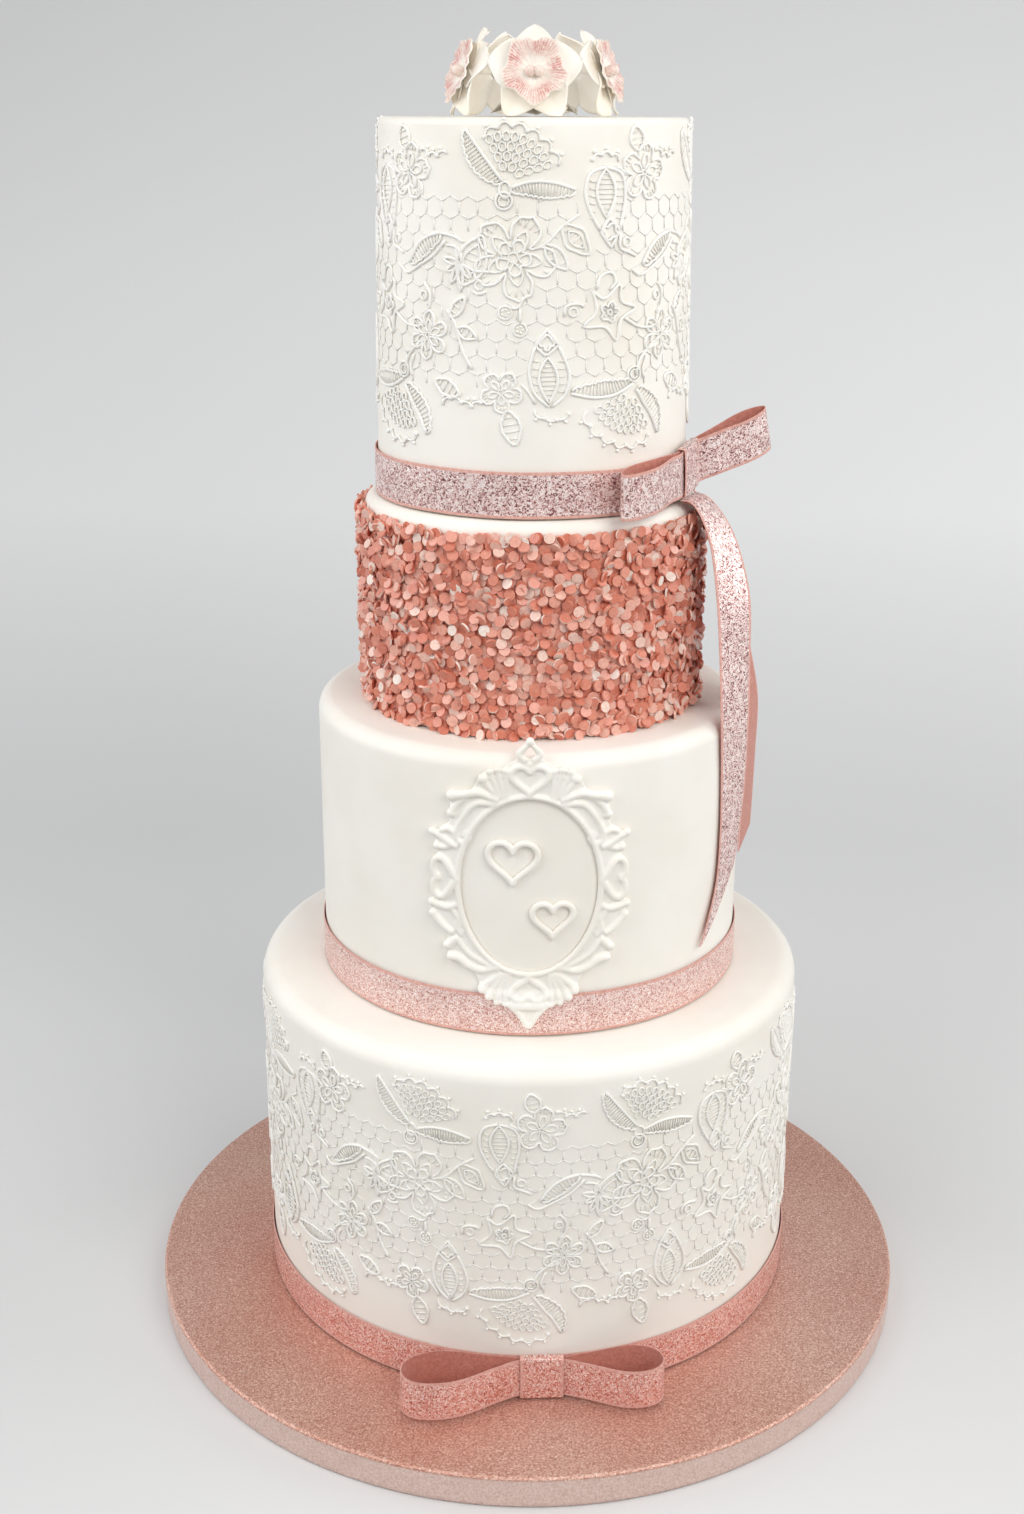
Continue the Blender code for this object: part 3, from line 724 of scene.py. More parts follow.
# ---------------------------------------------------------------- bows and tails

BOW_PINCH = 0.0012
KNOT_INSET = 0.0060
LOOP_SHAPE = 1.6
LOOP_TURN_LENGTH = 0.008
KNOT_HALF_DEPTH = BOW_PINCH / 2 + RIBBON_THICKNESS + GAP
KNOT_HALF_HEIGHT = RIBBON_WIDTH / 2 + GAP + RIBBON_THICKNESS / 2


def bow_axes(azimuth, roll):
    """The along, out and up directions of a bow."""
    level = np.array([math.cos(azimuth), math.sin(azimuth), 0.0])
    out = np.array([math.sin(azimuth), -math.cos(azimuth), 0.0])
    rise = np.array([0.0, 0.0, 1.0])
    return level * math.cos(roll) + rise * math.sin(roll), out, rise * math.cos(roll) - level * math.sin(roll)


def make_loop(node, centre, axes, side, reach, depth, turn, tilt, cloth):
    """One loop of a bow, from one layer in the knot round to the other."""
    along, out, up = axes
    along = along * side
    phi = np.linspace(0, 2 * math.pi, 240)
    belly = np.sin(phi) * np.abs(np.sin(phi / 2)) ** LOOP_SHAPE
    offset = depth / 2 * belly + BOW_PINCH / 2 * np.cos(phi / 2)
    outline = np.stack([reach * (1 - np.cos(phi)) / 2, offset], -1)
    start, end = np.array([[-KNOT_INSET, BOW_PINCH / 2]]), np.array([[-KNOT_INSET, -BOW_PINCH / 2]])
    outline = even_run(np.concatenate([start, outline, end]), STATION)
    distance, offset = outline[:, :1], outline[:, 1:]
    share = smooth_step(distance / LOOP_TURN_LENGTH)
    yaw, pitch = turn * share, tilt * share
    ahead = along * np.cos(yaw) + out * np.sin(yaw)
    away = out * np.cos(yaw) - along * np.sin(yaw)
    edge = centre + along * RIBBON_WIDTH / 2
    lift = 0.00025 * np.sin(distance * 260 + 2 * np.sign(offset)) * share
    centres = edge + (ahead * np.cos(pitch) + up * np.sin(pitch)) * distance + away * (offset + lift)
    acrosses = unit(up * np.cos(pitch) - ahead * np.sin(pitch))
    normals = unit(np.cross(tangents(centres), acrosses)) * side
    piece = ribbon_strip(node + "_cloth", centres, acrosses, normals, RIBBON_WIDTH, cloth)
    place(piece, [node])


def make_knot(node, centre, axes, cloth):
    """The short wrap of ribbon round the middle of a bow, drawn in a little at its waist."""
    along, out, up = axes
    corner, stops = 0.0005, []
    for out_sign, up_sign, start in ((1, 1, 0), (-1, 1, 1), (-1, -1, 2), (1, -1, 3)):
        for step in range(7):
            a = (start + step / 6) * math.pi / 2
            stops.append((out_sign * (KNOT_HALF_DEPTH - corner) + corner * math.cos(a),
                          up_sign * (KNOT_HALF_HEIGHT - corner) + corner * math.sin(a)))
    run = even_run(stops, STATION, closed=True, count=2 * int(2 * (KNOT_HALF_DEPTH + KNOT_HALF_HEIGHT) / STATION))
    waist = (1 - (run[:, 1] / KNOT_HALF_HEIGHT) ** 2) * (run[:, 0] > 0)
    centres = centre + out * (run[:, :1] + 0.00035 * waist[:, None]) + up * run[:, 1:]
    normals = unit(np.cross(along, tangents(centres, True)))
    acrosses = np.broadcast_to(along, centres.shape)
    piece = ribbon_strip(node + "_cloth", centres, acrosses, normals, RIBBON_WIDTH, cloth, closed=True)
    place(piece, [node])


def make_bows(materials):
    """The front bow of the bottom ribbon and the side bow of the top one."""
    bows = [
        ("front_bow", "tier_bottom", 3.0, 0.0089, 0.0, "glitter_warm", "ribbon_bottom_cloth", [
            ("left", -1, 0.0425, 0.0245, 8, 1), ("right", 1, 0.0355, 0.0200, 4, 1)]),
        ("side_bow", "tier_top", 68.0, 0.0116, 6.0, "glitter", "ribbon_top_cloth", [
            ("left", -1, 0.0380, 0.0105, -11, 3), ("right", 1, 0.0335, 0.0095, 33, 11)]),
    ]
    for prefix, tier, azimuth, rise, roll, glitter, band, loops in bows:
        radius, low, _ = tier_size(tier)
        azimuth, roll = math.radians(azimuth), math.radians(roll)
        depth = 3 * GAP + 2 * RIBBON_THICKNESS + KNOT_HALF_DEPTH
        centre = on_axis(azimuth, radius + depth, low - GAP + rise)
        axes = bow_axes(azimuth, roll)
        cloth = [materials[glitter], materials["selvage"], materials["ribbon_back"]]
        make_knot(prefix + "_knot", centre, axes, cloth)
        for label, side, reach, belly, turn, tilt in loops:
            make_loop(f"{prefix}_loop_{label}", centre, axes, side, reach, belly, math.radians(turn),
                      math.radians(tilt), cloth)


# Each stop of a tail is (azimuth in degrees, radius, height, facing azimuth in degrees).
FRONT_TAIL = [
    (68.0, 0.0576, 0.3203, 68), (67.5, 0.0635, 0.3185, 64), (67.5, 0.0707, 0.3068, 51),
    (65.1, 0.0766, 0.2872, 37), (63.4, 0.0790, 0.2668, 41), (61.9, 0.0808, 0.2458, 45),
    (63.8, 0.0802, 0.2246, 49), (64.4, 0.0797, 0.2060, 55), (63.2, 0.0790, 0.1870, 61),
    (58.7, 0.0789, 0.1720, 59), (55.5, 0.0789, 0.1640, 56),
]
BACK_TAIL = [
    (70.0, 0.0578, 0.3193, 70), (71.0, 0.0630, 0.3168, 70), (72.0, 0.0672, 0.3050, 69),
    (76.0, 0.0730, 0.2850, 68), (78.0, 0.0780, 0.2620, 67), (78.5, 0.0812, 0.2440, 67),
    (78.6, 0.0813, 0.2250, 68), (78.6, 0.0810, 0.2050, 68), (78.6, 0.0806, 0.1890, 68),
]
FRONT_CUT, BACK_CUT, TIP_WIDTH = 0.0230, 0.0060, 0.0020


def make_tail(node, stops, cut_length, cloth):
    """A hanging end of ribbon with a slanting cut at its tip."""
    route = smooth_run(stops, 60)
    centres = on_axis(np.radians(route[:, 0]), route[:, 1], route[:, 2])
    run = even_run(np.concatenate([centres, route[:, 3:]], 1)[:, :3], STATION)
    lengths = np.concatenate([[0], np.cumsum(np.linalg.norm(np.diff(centres, axis=0), axis=1))])
    along = np.linspace(0, lengths[-1], len(run))
    facing = np.radians(np.interp(along, lengths, route[:, 3]))
    acrosses = np.stack([np.cos(facing), np.sin(facing), np.zeros(len(run))], -1)
    normals = unit(np.cross(tangents(run), acrosses))
    share = np.clip(1 - (run[:, 2] - run[-1, 2]) / cut_length, 0, 1)
    cut = share * (RIBBON_WIDTH - TIP_WIDTH)
    piece = ribbon_strip(node + "_cloth", run, acrosses, normals, RIBBON_WIDTH, cloth, cut=cut)
    place(piece, [node])


def make_tails(materials):
    """Both tails of the side bow; the back one shows its matt reverse."""
    glitter, selvage, back = materials["glitter"], materials["selvage"], materials["ribbon_back"]
    make_tail("side_bow_tail_front", FRONT_TAIL, FRONT_CUT, [glitter, selvage, back])
    make_tail("side_bow_tail_back", BACK_TAIL, BACK_CUT, [back, selvage, glitter])


# ---------------------------------------------------------------- moulded frame and hearts

FRAME_CENTRE = 0.1989
OVAL_POINTS = 96
FRAME_PLATE = (-0.4, 0.7)
FRAME_VOXEL, HEART_VOXEL = 0.44, 0.33
# Node, distance to the right of the front, height and width of each open heart.
HEARTS = [("plaque_heart_upper", -0.0055, 0.2085, 0.0195), ("plaque_heart_lower", 0.0080, 0.1875, 0.0160)]
# Raised strokes of the frame's left half: (points, thickness at both ends), in millimetres from its centre.
FRAME_STROKES = [
    ([(-1.0, 45.2), (-3.6, 47.6), (-0.9, 50.6), (0, 52.4)], 1.5, 1.3),
    ([(-10.2, 31.0), (-16.5, 33.2), (-21.5, 32.4), (-26.0, 31.6)], 1.5, 2.4),
    ([(-21.5, 31.0), (-24.5, 28.4), (-26.3, 25.2)], 1.3, 1.9),
    ([(-10.5, 29.6), (-17.5, 29.4), (-22.0, 24.4), (-24.6, 19.0), (-24.4, 15.6), (-21.6, 14.9), (-19.9, 16.9),
      (-21.0, 18.7), (-22.3, 17.4)], 1.5, 1.0),
    ([(-24.2, 13.2), (-27.6, 14.6), (-30.4, 16.4), (-33.2, 17.6)], 1.4, 1.8),
    ([(-24.6, 17.6), (-27.4, 19.2), (-29.6, 18.6)], 1.2, 1.5),
    ([(-26.4, 13.4), (-29.0, 12.4), (-31.6, 12.6)], 1.1, 1.7),
    ([(-24.6, -8.0), (-28.0, -9.6), (-33.6, -8.4)], 1.2, 1.9),
    ([(-26.0, -18.8), (-29.5, -16.6), (-33.2, -12.4)], 1.4, 1.9),
    ([(-26.0, -10.6), (-24.2, -13.4), (-24.8, -16.6), (-23.2, -18.9)], 1.2, 1.1),
    ([(-21.6, -14.6), (-23.6, -15.8), (-22.8, -17.8)], 1.0, 1.0),
    ([(-24.4, -20.2), (-26.6, -22.6), (-28.0, -23.6)], 1.4, 2.0),
    ([(-27.8, -27.6), (-24.0, -27.8), (-20.6, -30.2), (-15.8, -31.6), (-10.0, -29.6)], 2.0, 1.4),
    ([(-24.2, -21.4), (-21.0, -25.4), (-16.4, -28.2), (-10.6, -30.6)], 1.2, 1.3),
]
# The outline of the thin moulding behind the strokes, left half from the top down.
FRAME_OUTLINE = [(0, 46.5), (-5.4, 46.0), (-9.0, 43.0), (-16.0, 41.4), (-18.0, 37.4), (-20.0, 34.2), (-27.2, 32.4),
                 (-27.6, 28.0), (-26.8, 22.6), (-31.4, 19.4), (-34.0, 16.6), (-31.6, 11.2), (-33.8, 7.2),
                 (-34.3, 1.2), (-33.4, -5.6), (-34.4, -8.8), (-32.8, -13.0), (-28.6, -19.4), (-29.2, -23.6),
                 (-28.8, -28.2), (-22.0, -31.2), (-18.6, -34.0), (-17.0, -38.6), (-13.4, -42.4), (-8.0, -44.8),
                 (-4.6, -46.4), (-2.4, -49.8), (0, -52.6)]
FAN_TIPS = [(-15.4, 38.6, 2.2), (-13.2, 41.0, 1.6), (-10.6, 41.8, 1.5), (-8.0, 41.4, 1.4)]
LOW_FAN_TIPS = [(-15.6, -38.2, 2.2), (-13.4, -41.0, 1.8), (-10.6, -42.8, 1.6), (-7.8, -43.4, 1.5)]


def heart_points(count=48):
    """An upright heart outline, 2 wide, centred."""
    t = round_angles(count) + math.pi / count
    x = np.sin(t) ** 3
    y = (13 * np.cos(t) - 5 * np.cos(2 * t) - 2 * np.cos(3 * t) - np.cos(4 * t)) / 16
    return np.stack([x, y], -1)


def tube(points, start, end, sides=8, closed=False, sink=0.25):
    """A closed round bar along flat points; start and end are its thicknesses."""
    points = np.asarray(points, float)
    count = len(points)
    ahead = tangents(points, closed)
    side = np.stack([-ahead[:, 1], ahead[:, 0]], -1)
    share = np.linspace(0, 1, count)[:, None]
    radius = (start + (end - start) * share) / 2
    ring = round_angles(sides)
    rows = [np.concatenate([points + side * radius * math.cos(a), radius * math.sin(a) + radius * (1 - sink)], 1)
            for a in ring]
    spots = np.stack(rows, 1).reshape(-1, 3)
    faces = grid_faces(count, sides, wrap_rows=closed).tolist()
    if not closed:
        faces.append(list(range(sides))[::-1])
        faces.append(list(range((count - 1) * sides, count * sides)))
    return spots, faces


def ball(x, y, radius, squash=1.0):
    """A low round knob."""
    rows, sides = 6, 10
    spots, ring = [], round_angles(sides)
    for i in range(rows + 1):
        a = -math.pi / 2 + math.pi * (i + 0.02) / (rows + 0.04)
        spots += [(x + radius * math.cos(a) * math.cos(b), y + radius * math.cos(a) * math.sin(b),
                   squash * radius * (0.6 + math.sin(a))) for b in ring]
    faces = grid_faces(rows + 1, sides).tolist()
    faces += [list(range(sides))[::-1], list(range(rows * sides, (rows + 1) * sides))]
    return np.array(spots), faces


def remeshed(pile, name, material, voxel, smoothing):
    """One skin over a pile of overlapping shapes, then softened."""
    obj = pile.build(name, [material])
    face_outwards(obj)
    voxels = obj.modifiers.new("voxels", "REMESH")
    voxels.mode = "VOXEL"
    voxels.voxel_size = voxel
    soft = obj.modifiers.new("soft", "SMOOTH")
    soft.factor, soft.iterations = 0.5, smoothing
    depsgraph = bpy.context.evaluated_depsgraph_get()
    mesh = bpy.data.meshes.new_from_object(obj.evaluated_get(depsgraph))
    old = obj.data
    obj.modifiers.clear()
    obj.data = mesh
    bpy.data.meshes.remove(old)
    mesh.shade_smooth()
    return obj


def wrap_on_wall(obj, across, height):
    """Bends a flat piece (millimetres) round the second tier's wall, over its ribbon where it reaches that low."""
    radius, low, _ = tier_size("tier_lower")
    count = len(obj.data.vertices)
    flat = np.empty(count * 3)
    obj.data.vertices.foreach_get("co", flat)
    flat = flat.reshape(-1, 3) * MM
    z = height + flat[:, 1]
    over = 1 - smooth_step((z - low - RIBBON_WIDTH - GAP) / 0.003)
    lift = np.maximum(flat[:, 2], 0.0) + 0.0002 + (RIBBON_THICKNESS + 2 * GAP) * over
    points = on_axis((across + flat[:, 0]) / radius, radius + lift, z)
    obj.data.vertices.foreach_set("co", points.ravel())
    obj.data.update()


def flat_ring(inner, outer, low, high):
    """A closed flat plate between two outlines with the same number of points."""
    count = len(inner)
    plate = np.concatenate([inner, outer])
    spots = np.concatenate([np.append(plate, np.full((2 * count, 1), height), 1) for height in (low, high)])
    faces = []
    for i in range(count):
        j = (i + 1) % count
        faces += [[2 * count + i, 3 * count + i, 3 * count + j, 2 * count + j], [i, j, count + j, count + i],
                  [i, 2 * count + i, 2 * count + j, j], [count + i, count + j, 3 * count + j, 3 * count + i]]
    return spots, faces


def make_frame(materials):
    """The moulded oval frame: rim, scrolls, fans of ribs, four open hearts and two finials."""
    pile = Pile()
    oval = round_angles(OVAL_POINTS)
    circle = np.stack([np.cos(oval), np.sin(oval)], -1)
    pile.add(*tube(circle * (24.3, 32.5), 2.1, 2.1, closed=True))
    outline = np.array(FRAME_OUTLINE)
    turn = np.arctan2(np.abs(outline[:, 0]), outline[:, 1])
    reach = np.linalg.norm(outline, axis=1)
    around = np.arctan2(np.abs(circle[:, 0]) * 24.0, circle[:, 1] * 32.2)
    border = np.interp(around, turn, reach)[:, None] - 0.7
    ray = np.stack([np.sign(circle[:, 0]) * np.sin(around), np.cos(around)], -1)
    pile.add(*flat_ring(circle * (23.9, 32.1), ray * border, *FRAME_PLATE))
    heart = heart_points()
    pile.add(*tube(heart * (6.0, 5.6) + (0, 38.9), 2.3, 2.3, closed=True))
    pile.add(*tube(heart * (5.8, -4.9) + (0, -38.3), 2.3, 2.3, closed=True))
    for mirror in (1, -1):
        flip = np.array([mirror, 1])
        side_heart = np.stack([heart[:, 1] * -5.1 - 29.3, heart[:, 0] * 7.2 + 1.2], -1)
        pile.add(*tube(side_heart * flip, 2.5, 2.5, closed=True))
        for stops, start, end in FRAME_STROKES:
            run = smooth_run(stops, 7) * flip
            pile.add(*tube(run, start * 1.6, end * 1.45))
            pile.add(*ball(*run[-1], end * 0.86))
        for tips, root in ((FAN_TIPS, (-8.6, 31.8)), (LOW_FAN_TIPS, (-8.2, -32.4))):
            for k, (x, y, size) in enumerate(tips):
                start = np.array(root) + (0.9 * k - 1.2, 0)
                middle = (start + (x, y)) / 2 + np.array([-0.7, 0.2 * np.sign(y)]) * (1 - 0.3 * k)
                run = smooth_run([start, middle, (x, y)], 8) * flip
                pile.add(*tube(run, 1.7, size * 1.25))
                pile.add(*ball(*run[-1], size * 0.82))
    drop = np.array([(0, 44.0), (-2.6, 45.4), (-2.9, 47.6), (-1.3, 50.2), (0, 52.0),
                     (1.3, 50.2), (2.9, 47.6), (2.6, 45.4)])
    pile.add(*tube(smooth_run(drop, 6, closed=True), 2.0, 2.0, closed=True))
    for side in (-1, 1):
        point = np.array([(6.6, -43.0), (4.4, -45.2), (2.4, -48.0), (0.9, -51.0), (0.0, -52.2)]) * (side, 1)
        pile.add(*tube(smooth_run(point, 6), 2.8, 1.9))
    pile.add(*tube([(-4.6, -43.8), (0, -43.9), (4.6, -43.8)], 3.0, 3.0))
    pile.add(*ball(0, 52.0, 1.5))
    pile.add(*ball(0, -51.6, 1.2))
    obj = remeshed(pile, "oval_frame", materials["moulded_sugar"], FRAME_VOXEL, 2)
    wrap_on_wall(obj, 0.0, FRAME_CENTRE)
    place(obj, ["plaque_frame"])
    for node, across, height, width in HEARTS:
        pile = Pile()
        half = width / 2 / MM
        outline = even_run(heart_points(96) * (half * 0.86, half * 0.86), 0.5, closed=True)
        pile.add(*tube(outline, 2.3, 2.3, closed=True, sides=12, sink=0.5))
        obj = remeshed(pile, node + "_relief", materials["moulded_sugar"], HEART_VOXEL, 2)
        wrap_on_wall(obj, across, height)
        place(obj, [node])


# ---------------------------------------------------------------- sugar orchids

def petal_material():
    """Sugar paste petals; the point value blush brushes pink dust on the throat in streaks."""
    material, shader, node, link = new_material("petal", srgb(252, 246, 234), 0.5)
    coords = node("TexCoord").outputs["Object"]
    blush = node("Attribute", {"attribute_name": "blush"}).outputs["Fac"]
    streak = node("Attribute", {"attribute_name": "streak"}).outputs["Fac"]
    dust = noise(node, 900.0, 4.0, 0.7, 0.8, coords)
    lines = spread(node, calc(node, "SINE", calc(node, "MULTIPLY", streak, 60.0)), to_low=0.55, low=-1.0)
    grain = spread(node, dust, to_low=0.15, low=0.30, high=0.56)
    amount = calc(node, "MULTIPLY", calc(node, "MULTIPLY", blush, lines), grain)
    cream = ramp(node, noise(node, 70.0, 2.0, 0.5, 0.0, coords),
                 [(0.3, srgb(247, 239, 222)), (0.65, srgb(254, 249, 240))])
    mixed = node("Mix", {"data_type": "RGBA", 7: (*srgb(200, 112, 110), 1)}, _0=amount, _6=cream)
    link(mixed.outputs[2], "Base Color")
    veins = noise(node, 420.0, 3.0, 0.6, 1.0, coords)
    add_bump(node, link, veins, 0.0002, 0.4)
    shader.inputs["Subsurface Weight"].default_value = 0.15
    shader.inputs["Subsurface Radius"].default_value = (1.0, 0.8, 0.5)
    shader.inputs["Subsurface Scale"].default_value = 0.003
    return material


def curved_sheet(front, thickness):
    """A closed thin piece over a grid of front points (rows x columns x 3)."""
    rows, columns = front.shape[:2]
    du, dv = np.gradient(front, axis=0), np.gradient(front, axis=1)
    normal = unit(np.cross(dv, du))
    back = front - normal * thickness
    faces = grid_faces(rows, columns, wrap_columns=False).tolist()
    count = rows * columns
    faces += [[i + count for i in f][::-1] for f in faces]
    rim = [i for i in range(columns)] + [i * columns + columns - 1 for i in range(1, rows)]
    rim += [(rows - 1) * columns + i for i in range(columns - 2, -1, -1)]
    rim += [i * columns for i in range(rows - 2, 0, -1)]
    faces += [[a, a + count, b + count, b] for a, b in zip(rim, rim[1:] + rim[:1])]
    return np.concatenate([front.reshape(-1, 3), back.reshape(-1, 3)]), faces


def petal_grid(length, width, root, rng, cup, sweep, ruffle):
    """A petal that grows along +y from a narrow root to a soft point: x across, y along, z to the front."""
    rows, columns = 15, 13
    t = np.linspace(0, 1, rows)[:, None]
    u = np.linspace(-1, 1, columns)[None, :]
    outline = np.sin(math.pi * np.clip(t, 0, 1) ** 0.90) ** 0.58 * (1 - 0.16 * t) + 0.16 * (1 - t)
    outline[-1] = 0.05
    phase = rng.uniform(0, 6.28, 3)
    wavy = 1 + 0.05 * np.sin(9 * t + phase[0]) * ruffle
    x = u * width / 2 * outline * wavy
    y = np.broadcast_to(root + (length - root) * t, x.shape)
    fall = -sweep * t ** 2
    bowl = cup * (u ** 2) * outline
    frill = ruffle * 0.0008 * (u ** 2) * np.sin(7.5 * t + phase[1] + 1.6 * np.sign(u)) * (0.3 + t)
    crease = -0.0005 * np.exp(-(u / 0.18) ** 2) * (1 - t)
    return np.stack([x, y, fall + bowl + frill + crease], -1)


ORCHIDS = [("orchid_front", 0, 12), ("orchid_right", 72, 20), ("orchid_back_right", 144, 24),
           ("orchid_back_left", 216, 24), ("orchid_left", 288, 20)]
LIP_RADIUS, PASTE_THICKNESS = 0.0100, 0.0005
ORCHID_RING_RADIUS, ORCHID_HEIGHT, MIDDLE_HEIGHT, ORCHID_RADIUS = 0.0242, 0.0138, 0.0040, 0.0148


def make_orchid(node, centre, azimuth, lean, materials, rng):
    """One flower: five ruffled petals, a pink-brushed lip and two rounded buds at its heart."""
    side = np.array([math.cos(azimuth), math.sin(azimuth), 0.0])
    level = np.array([math.sin(azimuth), -math.cos(azimuth), 0.0])
    rise = np.array([0.0, 0.0, 1.0])
    facing = level * math.cos(lean) + rise * math.sin(lean)
    up = rise * math.cos(lean) - level * math.sin(lean)
    axes = np.stack([side, up, facing])
    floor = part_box("tier_top")[1][2] + 0.0002

    def stand(points):
        spots = centre + points @ axes
        spots[:, 2] = np.clip(spots[:, 2], floor, CAD_BOX[1][2])
        return spots

    petals = Pile()
    for k in range(5):
        angle = 2 * math.pi * k / 5 + rng.uniform(-0.05, 0.05)
        wide = 0.0150 if k in (1, 4) else 0.0128
        reach = ORCHID_RADIUS * (1.0 if k == 0 else 1.07 if k in (2, 3) else rng.uniform(1.0, 1.06))
        front = petal_grid(reach, wide, 0.0012, rng, rng.uniform(0.0006, 0.0016), 0.0022, rng.uniform(0.7, 1.4))
        c, s = math.cos(angle), math.sin(angle)
        spots = np.stack([front[..., 0] * c + front[..., 1] * s, front[..., 1] * c - front[..., 0] * s,
                          front[..., 2] - (0.0010 if k in (0, 2, 3) else 0.0004)], -1)
        points, faces = curved_sheet(spots, PASTE_THICKNESS)
        petals.add(stand(points), faces)
    piece = petals.build(node + "_petals_paste", [materials["petal"]])
    face_outwards(piece)
    place(piece, [node + "_petals"])

    rings, around = 11, 60
    t = np.linspace(0.06, 1, rings)[:, None]
    a = round_angles(around)[None, :]
    lobes = 1 + 0.10 * np.cos(5 * a + math.pi) + 0.03 * np.sin(13 * a + rng.uniform(0, 6))
    radius = LIP_RADIUS * t * (1 + (lobes - 1) * t)
    pleat = 0.00035 * t * np.sin(15 * a + rng.uniform(0, 6))
    bowl = 0.0004 + 0.0026 * t ** 1.5 - 0.0006 * t ** 6 + pleat
    front = np.stack([radius * np.sin(a), radius * np.cos(a), bowl + 0 * a], -1)
    back = front - (0, 0, PASTE_THICKNESS)
    points = np.concatenate([front.reshape(-1, 3), back.reshape(-1, 3)])
    count = rings * around
    faces = grid_faces(rings, around).tolist()
    faces += [[i + count for i in f][::-1] for f in faces]
    last = (rings - 1) * around
    faces += [[last + i, last + (i + 1) % around, count + last + (i + 1) % around, count + last + i]
              for i in range(around)]
    faces.append(list(range(around)))
    faces.append(list(range(count, count + around))[::-1])
    blush = (smooth_step((t - 0.30) / 0.35) * (1 - 0.75 * smooth_step((t - 0.90) / 0.1)) *
             (0.80 + 0.20 * np.sin(5 * a + 0.6)) + 0 * a).ravel()
    streak = (a + 0 * t).ravel()
    lip = Pile()
    lip.add(stand(points), faces)
    values = [np.concatenate([blush, blush * 0.3])]
    streaks = [np.concatenate([streak, streak])]
    for x in (-0.0013, 0.0014):
        spots, knob = ball(x, -0.0004, 0.0018, 1.25)
        lip.add(stand(spots + (0, 0, 0.0008)), knob)
        values.append(np.full(len(spots), 0.55 if x < 0 else 0.35))
        streaks.append(np.zeros(len(spots)))
    piece = lip.build(node + "_lip_paste", [materials["petal"]])
    for name, data in (("blush", values), ("streak", streaks)):
        piece.data.attributes.new(name, "FLOAT", "POINT").data.foreach_set("value", np.concatenate(data))
    face_outwards(piece)
    place(piece, [node + "_lip"])


def make_orchids(materials):
    """The ring of flowers and the one that lies face up in its middle."""
    rng = np.random.default_rng(SEED + 5)
    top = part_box("tier_top")[1][2]
    for node, degrees, lean in ORCHIDS:
        azimuth = math.radians(degrees)
        centre = on_axis(azimuth, ORCHID_RING_RADIUS, top + ORCHID_HEIGHT)
        make_orchid(node, centre, azimuth, math.radians(lean), materials, rng)
    make_orchid("orchid_middle", on_axis(0.0, 0.0, top + MIDDLE_HEIGHT), 0.0, math.pi / 2, materials, rng)


# ---------------------------------------------------------------- sugar lace

